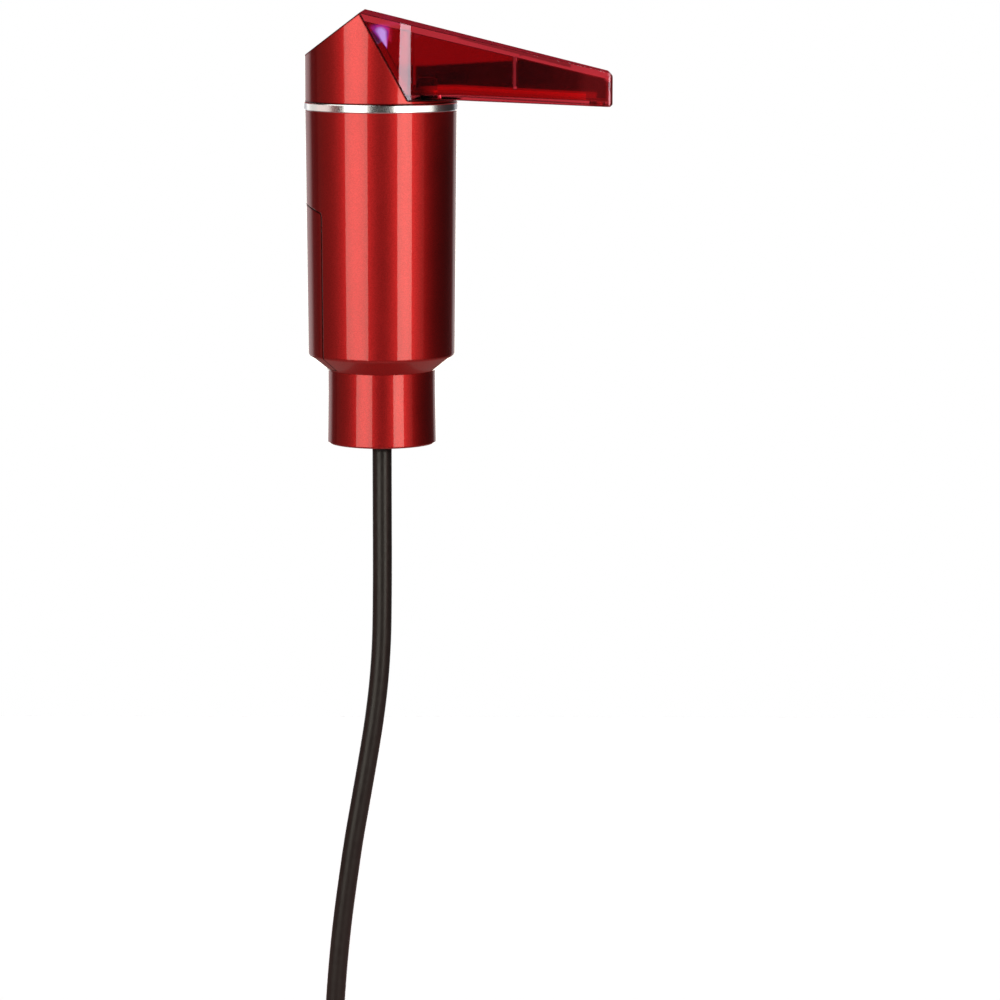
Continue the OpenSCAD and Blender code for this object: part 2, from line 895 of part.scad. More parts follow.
module pump_plate(z, t) {
    translate([pump_x, 0, z]) {
        linear_extrude(t) {
            round_rect(pump_half_x, pump_half_y, pump_corner_r);
        }
    }
}

module pump_screw_holes(z, t) {
    at_pump_screws() {
        translate([0, 0, z - cut]) {
            cylinder(r = screw_r + slip, h = t + 2 * cut);
        }
    }
}

module pump_gasket() {
    color(silicone) {
        difference() {
            pump_plate(floor_top_z, gasket_t);
            pump_screw_holes(floor_top_z, gasket_t);
            translate([pump_x - port_off, 0, floor_top_z - cut]) {
                cylinder(r = port_r, h = gasket_t + 2 * cut);
            }
            translate([pump_x, gear_pitch_r, floor_top_z - cut]) {
                cylinder(r = pin_r + slip, h = gasket_t + 2 * cut);
            }
        }
    }
}

module pump_housing() {
    color(pale_plastic) {
        difference() {
            pump_plate(pump_z, pump_h);
            pump_screw_holes(pump_z, pump_h);
            for (s = [-1, 1]) {
                translate([pump_x, s * gear_pitch_r, pump_z - cut]) {
                    cylinder(r = gear_cavity_r, h = pump_h + 2 * cut);
                }
                translate([pump_x + s * port_off, 0, pump_z - cut]) {
                    cylinder(r = port_r, h = pump_h + 2 * cut);
                }
            }
        }
    }
}

// Lid with the shaft seal's seat, the idler pin's socket and a duct to the nipple
module pump_cover() {
    duct_dx = -port_off;
    duct_len = norm([duct_dx, nipple_y]);
    color(pale_plastic) {
        difference() {
            union() {
                pump_plate(pump_lid_z, pump_lid_t);
                translate([pump_x, nipple_y, pump_top_z - cut / 2]) {
                    cylinder(r = nipple_r, h = nipple_l + cut / 2);
                }
            }
            pump_screw_holes(pump_lid_z, pump_lid_t);
            at_pump_screws() {
                translate([0, 0, pump_top_z - screw_head_h - slip]) {
                    cylinder(r = screw_head_r + slip, h = screw_head_h + cut);
                }
            }
            translate([pump_x, motor_y, pump_lid_z - cut]) {
                cylinder(r = shaft_r + run_gap + slip, h = pump_lid_t);
            }
            translate([pump_x, motor_y, pump_lid_z + lid_floor]) {
                cylinder(r = seal_r, h = pump_lid_t);
            }
            translate([pump_x, gear_pitch_r, pump_lid_z - cut]) {
                cylinder(r = pin_r, h = cut + pin_socket);
            }
            translate([pump_x + port_off, 0, pump_lid_z - cut]) {
                cylinder(r = duct_riser_r, h = duct_z + duct_r + slip - pump_lid_z + cut);
            }
            translate([pump_x + port_off, 0, duct_z]) {
                rotate([0, 90, atan2(nipple_y, duct_dx)]) {
                    cylinder(r = duct_r, h = duct_len);
                }
            }
            translate([pump_x, nipple_y, duct_z - duct_r - slip]) {
                cylinder(r = duct_riser_r, h = nipple_l + pump_lid_t);
            }
        }
    }
}

function involute(a) = tan(a) * 180 / PI - a;
function flank_a(r) = half_tooth_a + involute(pressure_a) - involute(acos(gear_base_r / r));
function polar(r, a) = r * [cos(a), sin(a)];
flank_radii = [
    for (i = [0 : flank_steps]) gear_base_r + (gear_tip_r - gear_base_r) * i / flank_steps
];
function tooth(a) = concat(
    [polar(gear_root_r, a - flank_a(gear_base_r))],
    [for (i = [0 : flank_steps]) polar(flank_radii[i], a - flank_a(flank_radii[i]))],
    [for (i = [flank_steps : -1 : 0]) polar(flank_radii[i], a + flank_a(flank_radii[i]))],
    [polar(gear_root_r, a + flank_a(gear_base_r))]
);

// Spur gear with its first tooth at an angle from +X
module gear(bore_r, first_a) {
    difference() {
        linear_extrude(gear_w) {
            polygon([for (i = [0 : gear_teeth - 1]) each tooth(first_a + 360 * i / gear_teeth)]);
        }
        translate([0, 0, -cut]) {
            cylinder(r = bore_r, h = gear_w + 2 * cut);
        }
    }
}

module drive_gear() {
    color("gainsboro") {
        translate([pump_x, -gear_pitch_r, pump_z + gear_face_gap]) {
            gear(shaft_r, 90);
        }
    }
}

module driven_gear() {
    color("gainsboro") {
        translate([pump_x, gear_pitch_r, pump_z + gear_face_gap]) {
            gear(pin_r + run_gap, -90 + 180 / gear_teeth);
        }
    }
}

module idler_pin() {
    color(steel) {
        translate([pump_x, gear_pitch_r, floor_top_z - pin_depth]) {
            cylinder(r = pin_r, h = pump_lid_z + pin_socket - floor_top_z + pin_depth);
        }
    }
}

module shaft_seal() {
    color(silicone) {
        translate([pump_x, motor_y, pump_lid_z + lid_floor]) {
            difference() {
                cylinder(r = seal_r, h = pump_lid_t - lid_floor - hub_h);
                translate([0, 0, -cut]) {
                    cylinder(r = shaft_r + run_gap, h = pump_lid_t + cut);
                }
            }
        }
    }
}

module pump_screws() {
    color(steel) {
        at_pump_screws() {
            translate([0, 0, pump_top_z - screw_head_h - slip]) {
                screw(pump_top_z - screw_head_h - slip - floor_z - cut / 2);
            }
        }
    }
}

// Motor

module motor_outline(grow) {
    intersection() {
        circle(r = motor_r + grow);
        square([motor_flat + 2 * grow, 3 * motor_r], center = true);
    }
}

module at_motor(z) {
    translate([pump_x, motor_y, z]) {
        children();
    }
}

module motor_can() {
    color(steel) {
        at_motor(motor_z) {
            difference() {
                union() {
                    linear_extrude(motor_l) {
                        motor_outline(0);
                    }
                    translate([0, 0, -hub_h]) {
                        cylinder(r = hub_r, h = hub_h + cut);
                    }
                }
                translate([0, 0, -hub_h - cut]) {
                    cylinder(r = shaft_r + run_gap, h = motor_l + hub_h + 2 * cut);
                }
            }
        }
    }
}

module motor_end_bell() {
    color("ivory") {
        at_motor(motor_top_z) {
            difference() {
                union() {
                    linear_extrude(bell_t) {
                        motor_outline(-bell_in);
                    }
                    cylinder(r = hub_r, h = bell_t + hub_h);
                }
                translate([0, 0, -cut]) {
                    cylinder(r = shaft_r + run_gap, h = bell_t + hub_h + 2 * cut);
                }
            }
        }
    }
}

module motor_shaft() {
    shaft_z = pump_z + gear_face_gap;
    color(steel) {
        at_motor(shaft_z) {
            cylinder(r = shaft_r, h = motor_top_z + bell_t + hub_h - shaft_z);
        }
    }
}

module motor_terminals() {
    tab_w = 2.4;
    tab_t = 0.5;
    color("goldenrod") {
        at_motor(motor_top_z + bell_t) {
            for (y = [-terminal_off, terminal_off]) {
                translate([-tab_w / 2, y - tab_t / 2, 0]) {
                    cube([tab_w, tab_t, terminal_h]);
                }
            }
        }
    }
}

// Strap round the can, screwed to the spine
module motor_clamp() {
    back_t = pump_x - motor_flat / 2 - slip - spine_front_x;
    color(dark_plastic) {
        difference() {
            union() {
                at_motor(clamp_z) {
                    linear_extrude(clamp_h) {
                        motor_outline(slip + clamp_t);
                    }
                }
                translate([spine_front_x, motor_y - clamp_half_y, clamp_z]) {
                    cube([clamp_t + slip, 2 * clamp_half_y, clamp_h]);
                }
                translate([spine_front_x, motor_y - motor_r / 2, clamp_z]) {
                    cube([back_t, motor_r, clamp_h]);
                }
            }
            at_motor(clamp_z - cut) {
                linear_extrude(clamp_h + 2 * cut) {
                    motor_outline(slip);
                }
            }
            for (s = [-1, 1]) {
                translate([spine_front_x - cut, motor_y + s * clamp_ear_y, clamp_mid_z]) {
                    rotate([0, 90, 0]) {
                        cylinder(r = screw_r + slip, h = 2 * clamp_t + 2 * cut);
                    }
                }
            }
        }
    }
}

module clamp_screws() {
    color(steel) {
        for (s = [-1, 1]) {
            translate([spine_front_x + clamp_t + slip, motor_y + s * clamp_ear_y, clamp_mid_z]) {
                rotate([0, 90, 0]) {
                    screw(clamp_t + spine_t);
                }
            }
        }
    }
}

// Batteries

module at_cells() {
    for (row = [0, 1], s = [-1, 1]) {
        translate([row == 0 ? back_x : front_x, s * cell_y, 0]) {
            if ((row == 0) == (s == 1)) {
                translate([0, 0, bay_z]) {
                    children();
                }
            } else {
                translate([0, 0, bay_top_z]) {
                    mirror([0, 0, 1]) {
                        children();
                    }
                }
            }
        }
    }
}

module battery_holder() {
    wall_r = tongue_r - tongue_t - seam_gap;
    inner_w = 2 * (holder_half_w - holder_wall);
    rail_y = holder_half_w + rail_w / 2 - cut / 4;
    height = holder_top_z - floor_top_z;
    color(dark_plastic) {
        difference() {
            union() {
                intersection() {
                    translate([-wall_r, -holder_half_w, floor_top_z]) {
                        cube([wall_r + holder_front_x, 2 * holder_half_w, height]);
                    }
                    cylinder(r = wall_r, h = holder_top_z + cut);
                }
                for (s = [-1, 1]) {
                    translate([rail_x + rail_t / 2, s * rail_y, floor_top_z + height / 2]) {
                        cube([rail_t, rail_w + cut / 2, height - 2 * rail_end], center = true);
                    }
                }
            }
            translate([-wall_r - cut, -inner_w / 2, floor_top_z + holder_wall]) {
                cube([wall_r + cut + holder_front_x - holder_wall, inner_w, height - 2 * holder_wall]);
            }
            for (s = [-1, 1]) {
                translate([back_x, s * cell_y, holder_top_z - holder_wall - cut]) {
                    cylinder(r = 2 * wire_r, h = holder_wall + 2 * cut);
                }
            }
        }
    }
}

module battery_cells() {
    color("darkseagreen") {
        at_cells() {
            translate([0, 0, spring_l]) {
                cylinder(r = cell_r, h = cell_l - nub_h);
                cylinder(r = nub_r, h = cell_l);
            }
        }
    }
}

// Conical coil from the contact plate up to the cell's flat end
function spring_point(t) = let (
        r = spring_base_r + (spring_tip_r - spring_base_r) * t,
        z = spring_wire_r + (spring_l - 2 * spring_wire_r) * t
    ) [r * cos(360 * spring_turns * t), r * sin(360 * spring_turns * t), z];
spring_rings = 12 * spring_turns;
spring_route = [for (i = [0 : spring_rings]) spring_point(i / spring_rings)];
spring_gap = norm([
    (spring_base_r - spring_tip_r) / spring_turns, (spring_l - 2 * spring_wire_r) / spring_turns
]) - 2 * spring_wire_r;
echo(least_gap_between_spring_turns = spring_gap);

module battery_springs() {
    color(steel) {
        at_cells() {
            sweep(spring_route, spring_wire_r, spring_sides, [0, 0, 1]);
        }
    }
}

// Plates on the end walls: bridges at the bottom and front, single plates at the back
module battery_contacts() {
    color(steel) {
        for (s = [-1, 1]) {
            translate([back_x - plate_w / 2, s * cell_y - plate_w / 2, bay_z - contact_t]) {
                cube([front_x - back_x + plate_w, plate_w, contact_t]);
            }
            translate([back_x - plate_w / 2, s * cell_y - plate_w / 2, bay_top_z]) {
                cube([plate_w, plate_w, contact_t]);
            }
        }
        translate([front_x - plate_w / 2, -cell_y - plate_w / 2, bay_top_z]) {
            cube([plate_w, 2 * cell_y + plate_w, contact_t]);
        }
    }
}

// Control board

module control_board() {
    color("darkgreen") {
        difference() {
            translate([board_x, -board_half_w, board_z]) {
                cube([board_t, 2 * board_half_w, board_h]);
            }
            for (s = [-1, 1]) {
                translate([board_x - cut, s * standoff_y, standoff_z(s)]) {
                    rotate([0, 90, 0]) {
                        cylinder(r = screw_r + slip, h = board_t + 2 * cut);
                    }
                }
            }
        }
    }
}

module board_components() {
    face_x = board_x + board_t;
    color([0.12, 0.12, 0.13]) {
        translate([face_x, chip_at[0], board_mid_z() + chip_at[1]]) {
            cube(chip_size);
        }
        translate([face_x, coil_at[0], board_mid_z() + coil_at[1]]) {
            cube(coil_size);
        }
        translate([face_x, capacitor_at[0], board_mid_z() + capacitor_at[1]]) {
            rotate([0, 90, 0]) {
                cylinder(r = capacitor_r, h = capacitor_h);
            }
        }
        translate([face_x, diode_at[0], board_mid_z() + diode_at[1]]) {
            cube(diode_size);
        }
    }
}

module board_screws() {
    color(steel) {
        for (s = [-1, 1]) {
            translate([board_x + board_t, s * standoff_y, standoff_z(s)]) {
                rotate([0, 90, 0]) {
                    screw(board_t + board_off + spine_t / 2);
                }
            }
        }
    }
}

// Tube from the pump's nipple up beside the motor, then across to the nozzle
function ease(t) = t * t * (3 - 2 * t);
delivery_route = concat(
    [[pump_x, nipple_y, pump_top_z + slip], [pump_x, nipple_y, motor_z + motor_l / 2]],
    [
        for (i = [0 : bend_steps])
            let (t = i / bend_steps, s = ease(t), z = bend_z + (bend_top_z - bend_z) * t)
                [pump_x + (nozzle_x - pump_x) * s, nipple_y * (1 - s), z]
    ],
    [[nozzle_x, 0, delivery_top_z]]
);

module delivery_tube() {
    color("whitesmoke") {
        pipe(delivery_route, delivery_r, delivery_bore_r, hose_sides, [1, 0, 0]);
    }
}

module lead_wires() {
    board_face = board_x + board_t + wire_r + slip;
    terminal_z = motor_top_z + bell_t + terminal_h + slip;
    switch_drop = switch_depth + switch_board_t + seam_gap;
    switch_end_x = slope_mid_x + switch_drop * sin(slope_a);
    switch_end_z = slope_mid_z - switch_drop * cos(slope_a);
    color("crimson") {
        for (s = [-1, 1]) {
            sweep([
                [back_x, s * cell_y, bay_top_z + contact_t + slip],
                [back_x, s * cell_y, holder_top_z + wire_rise],
                [back_x + wire_step, s * cell_y, board_mid_z() - wire_rise],
                [spine_x - wire_step, s * cell_y, board_mid_z()],
                [board_x - slip, s * cell_y, board_mid_z()]
            ], wire_r, wire_sides, [0, 1, 0]);
            sweep([
                [pump_x, motor_y + s * terminal_off, terminal_z],
                [pump_x, motor_y + s * terminal_off, terminal_z + wire_rise],
                [pump_x - wire_rise, (motor_y + lead_mid_y) / 2 + s * lead_off, terminal_z + 2 * wire_rise],
                [board_face + 2 * wire_r, lead_mid_y + s * lead_off, terminal_z + 2 * wire_rise + 1],
                [board_face - wire_r, lead_mid_y + s * lead_off, terminal_z + 2 * wire_rise + 1]
            ], wire_r, wire_sides, [0, 1, 0]);
            sweep([
                [board_face - wire_r, s * wire_pair_y, board_z + board_h - wire_rise],
                [board_face + 2 * wire_r, s * wire_pair_y, board_z + board_h - 2],
                [wire_hole_x, s * wire_pair_y, deck_z - wire_rise],
                [wire_hole_x - wire_lean, s * wire_pair_y, head_z],
                [wire_hole_x - wire_step, s * wire_pair_y, head_z + wire_step],
                [switch_end_x + 2, s * 2 * wire_pair_y, switch_end_z - wire_step],
                [switch_end_x, s * 2 * wire_pair_y, switch_end_z]
            ], wire_r, wire_sides, [0, 1, 0]);
        }
    }
}

// Head

// Side view of the head above the ring: rear wall, slope, seam and lip
module head_outline() {
    polygon([
        [-head_r, 0], [-head_r, head_rear_h], [-ridge_back, ridge_h], [seam_foot, lip_h],
        [head_r, lip_h], [head_r, 0]
    ]);
}

// Inside of the head: the slope and the seam plane moved in by the wall
module head_hollow_outline() {
    slope_drop = head_wall / cos(slope_a);
    seam_back = head_wall / cos(seam_a);
    rear_z = head_rear_h - slope_drop;
    peak_x = (ridge_back * tan(slope_a) + ridge_h - slope_drop - ridge_h
        + (seam_back + ridge_back) / tan(seam_a)) / (-tan(slope_a) - 1 / tan(seam_a));
    peak_z = ridge_h - slope_drop + (peak_x + ridge_back) * tan(slope_a);
    foot_x = -ridge_back - seam_back + (ridge_h + ring_h) * tan(seam_a);
    polygon([[-head_r, -ring_h], [-head_r, rear_z], [peak_x, peak_z], [foot_x, -ring_h]]);
}

module head_cap() {
    color(red) {
        difference() {
            union() {
                intersection() {
                    translate([0, 0, head_z]) {
                        cylinder(r = head_r, h = ridge_h);
                    }
                    translate([0, 0, head_z]) {
                        side_slab(2 * head_d) {
                            head_outline();
                        }
                    }
                }
                translate([0, 0, body_top_z]) {
                    difference() {
                        cylinder(r = spigot_r, h = ring_h + cut / 2);
                        translate([0, 0, -cut]) {
                            cylinder(r = spigot_r - spigot_wall, h = ring_h + cut);
                        }
                    }
                }
                head_screw_posts();
            }
            difference() {
                head_hollow();
                head_inner_posts();
            }
            button_hole();
            led_hole();
            nozzle_hole();
            for (p = head_posts) {
                translate([p[0], p[1], body_top_z - cut]) {
                    cylinder(r = screw_r, h = head_post_h + cut);
                }
            }
        }
    }
}

module head_screw_posts() {
    for (p = head_posts) {
        translate([p[0], p[1], body_top_z]) {
            cylinder(r = head_post_r, h = ring_h + cut / 2);
        }
    }
}

module head_hollow() {
    intersection() {
        union() {
            translate([0, 0, head_z + sill_h]) {
                cylinder(r = head_r - head_wall, h = ridge_h);
            }
            translate([0, 0, head_z - cut / 4]) {
                cylinder(r = spigot_r - spigot_wall, h = sill_h + cut);
            }
        }
        translate([0, 0, head_z]) {
            side_slab(2 * head_d) {
                head_hollow_outline();
            }
        }
    }
}

// Posts that stay standing inside the head: two for the switch board and one for the rear screw
module head_inner_posts() {
    on_slope() {
        for (y = [-switch_post_y, switch_post_y]) {
            translate([0, y, -switch_depth]) {
                difference() {
                    cylinder(r = switch_post_r, h = switch_depth);
                    translate([0, 0, -cut]) {
                        cylinder(r = screw_r, h = switch_screw_l + cut);
                    }
                }
            }
        }
    }
    translate([head_posts[0][0], 0, body_top_z]) {
        cylinder(r = head_post_r, h = ring_h + head_post_h);
    }
}

module button_hole() {
    on_slope() {
        translate([0, 0, -head_wall - cut]) {
            cylinder(r = button_d / 2 + button_gap, h = head_wall + 2 * cut);
        }
    }
}

module at_led() {
    translate([led_x, 0, head_z + led_h]) {
        rotate([0, 90 - seam_a, 0]) {
            children();
        }
    }
}

module led_hole() {
    at_led() {
        translate([0, 0, -head_wall - cut]) {
            cylinder(r = led_r + slip, h = head_wall + 2 * cut);
        }
    }
}

module nozzle_hole() {
    translate([nozzle_x, 0, head_z - cut]) {
        cylinder(r = nozzle_r + slip, h = lip_h + spout_wall + 2 * cut);
    }
}

module head_screws() {
    color(steel) {
        for (p = head_posts) {
            translate([p[0], p[1], deck_z]) {
                mirror([0, 0, 1]) {
                    screw(deck_t + head_post_h - cut / 2);
                }
            }
        }
    }
}

// Dished cap with a flange that holds it under the slope, and a stem that meets the switch
module power_button() {
    cap_r = button_d / 2;
    flange_top = -head_wall - slip;
    stem_end = -switch_depth + switch_h + plunger_top;
    color(red) {
        on_slope() {
            difference() {
                union() {
                    translate([0, 0, flange_top - cut / 2]) {
                        cylinder(r = cap_r, h = -flange_top + cut / 2);
                    }
                    translate([0, 0, flange_top - button_flange_t]) {
                        cylinder(r = cap_r + button_flange_w, h = button_flange_t);
                    }
                    translate([0, 0, stem_end]) {
                        cylinder(r = plunger_r + button_stem_w, h = flange_top - stem_end);
                    }
                }
                translate([0, 0, button_dish_r - button_dish]) {
                    sphere(r = button_dish_r);
                }
            }
        }
    }
}

module switch_board() {
    color("darkgreen") {
        on_slope() {
            difference() {
                translate([-switch_board_half_x, -switch_board_half_y, -switch_depth - switch_board_t]) {
                    cube([2 * switch_board_half_x, 2 * switch_board_half_y, switch_board_t]);
                }
                for (y = [-switch_post_y, switch_post_y]) {
                    translate([0, y, -switch_depth - switch_board_t - cut]) {
                        cylinder(r = screw_r + slip, h = switch_board_t + 2 * cut);
                    }
                }
            }
        }
    }
}

module tact_switch() {
    color([0.1, 0.1, 0.1]) {
        on_slope() {
            translate([0, 0, -switch_depth]) {
                difference() {
                    translate([-switch_size / 2, -switch_size / 2, 0]) {
                        cube([switch_size, switch_size, switch_h]);
                    }
                    translate([0, 0, switch_floor]) {
                        cylinder(r = plunger_r + slip, h = switch_h);
                    }
                }
            }
        }
    }
}

module switch_plunger() {
    plunger_z = switch_floor + button_travel + seam_gap;
    color("saddlebrown") {
        on_slope() {
            translate([0, 0, -switch_depth + plunger_z]) {
                cylinder(r = plunger_r, h = switch_h + plunger_top - plunger_z);
            }
        }
    }
}

module switch_screws() {
    color(steel) {
        on_slope() {
            for (y = [-switch_post_y, switch_post_y]) {
                translate([0, y, -switch_depth - switch_board_t]) {
                    mirror([0, 0, 1]) {
                        screw(switch_screw_l);
                    }
                }
            }
        }
    }
}

// Domed lamp that stands out of the seam, with its flange behind the wall and two leads
module indicator_led() {
    flange_r = led_r + led_flange_w;
    flange_z = -head_wall - led_flange_t;
    color("mediumslateblue") {
        at_led() {
            rotate_extrude() {
                polygon(concat(
                    [[0, flange_z], [flange_r, flange_z], [flange_r, -head_wall], [led_r, -head_wall]],
                    arc([0, led_reach - led_r], led_r, 0, 90, 8)
                ));
            }
            for (y = [-led_lead_y, led_lead_y]) {
                translate([0, y, flange_z - led_lead_l]) {
                    cylinder(r = led_lead_r, h = led_lead_l + cut / 4);
                }
            }
        }
    }
}

// Spout

module aerator_nozzle() {
    jet_z = head_z + nozzle_top - jet_drop;
    spigot_z = body_top_z - nozzle_spigot_l;
    color("whitesmoke") {
        difference() {
            translate([nozzle_x, 0, 0]) {
                rotate_extrude() {
                    polygon(concat(
                        [[nozzle_bore_r, spigot_z], [nozzle_spigot_r, spigot_z],
                            [nozzle_spigot_r, body_top_z], [nozzle_flange_r, body_top_z],
                            [nozzle_flange_r, body_top_z + nozzle_flange_t],
                            [nozzle_r, body_top_z + nozzle_flange_t]],
                        arc([nozzle_r - nozzle_edge_r, head_z + nozzle_top - nozzle_edge_r],
                            nozzle_edge_r, 0, 90, 5),
                        [[0, head_z + nozzle_top], [0, jet_z + nozzle_bore_r], [nozzle_bore_r, jet_z]]
                    ));
                }
            }
            for (a = [-60 : 60 : 60]) {
                translate([nozzle_x, 0, jet_z]) {
                    rotate([0, 90, a]) {
                        cylinder(r = jet_r, h = nozzle_r + cut);
                    }
                }
            }
        }
    }
}

module nozzle_o_ring() {
    ring_r = (ring_h - nozzle_flange_t) / 2 - run_gap / 2;
    color(silicone) {
        translate([nozzle_x, 0, head_z - ring_r - run_gap / 2]) {
            rotate_extrude() {
                translate([nozzle_r + slip + ring_r, 0]) {
                    circle(r = ring_r);
                }
            }
        }
    }
}

// Side view of the spout above the ring, from the seam to the tip
module spout_outline() {
    corner = [spout_reach - tip_r, spout_top_z(spout_reach - tip_r) - tip_r / cos(spout_top_fall)];
    polygon(concat(
        [[seam_foot, lip_h], [-ridge_back, ridge_h]],
        arc(corner, tip_r, 90 - spout_top_fall, 0, 6),
        [[spout_reach, spout_floor_z(spout_reach) + tip_bevel],
            [spout_reach - tip_bevel, spout_floor_z(spout_reach - tip_bevel)], [head_r, lip_h]]
    ));
}

module spout_hollow_outline() {
    end_x = spout_reach - spout_wall;
    rear_x = -head_r;
    polygon([
        [rear_x, lip_h + spout_wall], [rear_x, spout_top_z(rear_x) - spout_top_skin],
        [end_x - tip_r / 2, spout_top_z(end_x - tip_r / 2) - spout_top_skin],
        [end_x, spout_top_z(end_x) - spout_top_skin - tip_r / 2],
        [end_x, spout_floor_z(end_x) + spout_wall], [head_r, lip_h + spout_wall]
    ]);
}

// Plan of the spout: a round rear and two flat sides that narrow to the tip
module spout_plan() {
    circle(r = head_r);
    polygon(concat(
        [[0, -crease_y], [crease_x, -crease_y]],
        arc([spout_reach - tip_plan_r, tip_plan_r - spout_side_y(spout_reach)], tip_plan_r, -80, 0, 4),
        arc([spout_reach - tip_plan_r, spout_side_y(spout_reach) - tip_plan_r], tip_plan_r, 0, 80, 4),
        [[crease_x, crease_y], [0, crease_y]]
    ));
}

module spout_hollow_plan() {
    skin = spout_wall * sqrt(1 + side_slope * side_slope);
    end_x = spout_reach - spout_wall;
    circle(r = head_r - spout_wall);
    polygon([
        [0, skin - crease_y], [crease_x, skin - crease_y], [end_x, skin - spout_side_y(end_x)],
        [end_x, spout_side_y(end_x) - skin], [crease_x, crease_y - skin], [0, crease_y - skin]
    ]);
}

module spout_hollow() {
    translate([0, 0, head_z]) {
        intersection() {
            linear_extrude(ridge_h + 2 * cut) {
                spout_hollow_plan();
            }
            side_slab(2 * head_d) {
                spout_hollow_outline();
            }
        }
    }
}

module spout() {
    outlet_z = head_z + spout_floor_z(outlet_x);
    color(clear_red) {
        difference() {
            union() {
                difference() {
                    spout_block();
                    spout_hollow();
                }
                spout_baffle();
            }
            translate([outlet_x, 0, outlet_z - cut]) {
                cylinder(r = outlet_d / 2, h = 2 * spout_wall + cut);
            }
            nozzle_hole();
        }
    }
}

// The spout as a solid block: its plan and its side view in one
module spout_block() {
    translate([0, 0, head_z]) {
        intersection() {
            translate([0, 0, -ridge_h]) {
                linear_extrude(3 * ridge_h) {
                    spout_plan();
                }
            }
            side_slab(2 * head_d) {
                spout_outline();
            }
        }
    }
}

// Baffle across the middle, hung from the spout's top and sides over the trough
module spout_baffle() {
    baffle_z = spout_floor_z(rib_x) + spout_wall + channel_h + rib_gap;
    intersection() {
        translate([rib_x, -head_r, head_z + baffle_z]) {
            cube([rib_t, head_d, ridge_h]);
        }
        spout_block();
    }
}

// Open trough along the spout's floor from the nozzle to the outlet
module pour_channel() {
    start_x = nozzle_x - nozzle_r - 2 * channel_t;
    half_w = channel_w / 2;
    floor_start = lip_h + spout_wall;
    function rise(x) = spout_floor_z(x) + spout_wall;
    color(clear_red) {
        difference() {
            translate([0, 0, head_z]) {
                side_slab(channel_w) {
                    polygon([
                        [start_x, floor_start], [head_r, floor_start],
                        [channel_end_x, rise(channel_end_x)],
                        [channel_end_x, rise(channel_end_x) + channel_h],
                        [head_r, floor_start + channel_h], [start_x, floor_start + channel_h]
                    ]);
                }
            }
            translate([0, 0, head_z]) {
                side_slab(channel_w - 2 * channel_t) {
                    polygon([
                        [start_x + channel_t, floor_start + channel_t],
                        [head_r, floor_start + channel_t],
                        [channel_end_x + cut, rise(channel_end_x + cut) + channel_t],
                        [channel_end_x + cut, rise(channel_end_x) + 2 * channel_h],
                        [start_x + channel_t, floor_start + 2 * channel_h]
                    ]);
                }
            }
            translate([nozzle_x, 0, head_z]) {
                cylinder(r = nozzle_r + slip, h = lip_h + spout_wall + channel_t + cut);
            }
        }
    }
}

body_shell();
battery_cover();
trim_ring();
collar();
collar_screws();
stopper();
intake_barb();
dip_tube();
chassis();
pump_gasket();
pump_housing();
pump_cover();
drive_gear();
driven_gear();
idler_pin();
shaft_seal();
pump_screws();
motor_can();
motor_end_bell();
motor_shaft();
motor_terminals();
motor_clamp();
clamp_screws();
battery_holder();
battery_cells();
battery_springs();
battery_contacts();
control_board();
board_components();
board_screws();
delivery_tube();
lead_wires();
head_cap();
head_screws();
power_button();
switch_board();
tact_switch();
switch_plunger();
switch_screws();
indicator_led();
aerator_nozzle();
nozzle_o_ring();
spout();
pour_channel();
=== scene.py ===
import math

import bpy
from mathutils import Matrix, Vector


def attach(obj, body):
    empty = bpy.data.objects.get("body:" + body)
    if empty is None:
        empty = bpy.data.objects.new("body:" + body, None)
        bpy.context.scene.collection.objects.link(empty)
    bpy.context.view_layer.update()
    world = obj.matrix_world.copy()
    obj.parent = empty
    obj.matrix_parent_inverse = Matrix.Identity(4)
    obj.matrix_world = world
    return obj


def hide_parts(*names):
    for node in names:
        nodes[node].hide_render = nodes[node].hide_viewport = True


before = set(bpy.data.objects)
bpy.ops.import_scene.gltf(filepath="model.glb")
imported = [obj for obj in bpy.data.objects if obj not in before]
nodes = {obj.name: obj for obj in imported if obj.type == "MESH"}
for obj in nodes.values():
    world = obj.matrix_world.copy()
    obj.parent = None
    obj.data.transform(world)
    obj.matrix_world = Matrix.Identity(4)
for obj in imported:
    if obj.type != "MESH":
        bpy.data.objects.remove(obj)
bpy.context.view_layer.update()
scene = bpy.context.scene


# Camera: position in metres, tilt down and roll in degrees, focal length in image widths
CAMERA_AT = (0.0427, -1.3, 0.1629)
CAMERA_TILT = 9.014
CAMERA_ROLL = 0.131
CAMERA_FOCAL = 3.6304
CAMERA_NEAR = 0.05
CAMERA_FAR = 50.0
SENSOR_MM = 36.0
IMAGE_PX = 1000


def add_camera():
    data = bpy.data.cameras.new("camera")
    data.sensor_fit = "HORIZONTAL"
    data.sensor_width = SENSOR_MM
    data.lens = SENSOR_MM * CAMERA_FOCAL
    data.clip_start = CAMERA_NEAR
    data.clip_end = CAMERA_FAR
    camera = bpy.data.objects.new("camera", data)
    tilt = math.radians(CAMERA_TILT)
    roll = math.radians(CAMERA_ROLL)
    ahead = Vector((0.0, math.cos(tilt), -math.sin(tilt)))
    up = Vector((0.0, math.sin(tilt), math.cos(tilt)))
    right = Vector((1.0, 0.0, 0.0))
    turned_right = math.cos(roll) * right + math.sin(roll) * up
    turned_up = math.cos(roll) * up - math.sin(roll) * right
    axes = Matrix((turned_right, turned_up, -ahead)).transposed()
    camera.matrix_world = Matrix.Translation(Vector(CAMERA_AT)) @ axes.to_4x4()
    scene.collection.objects.link(camera)
    scene.camera = camera
    scene.view_settings.view_transform = "Standard"


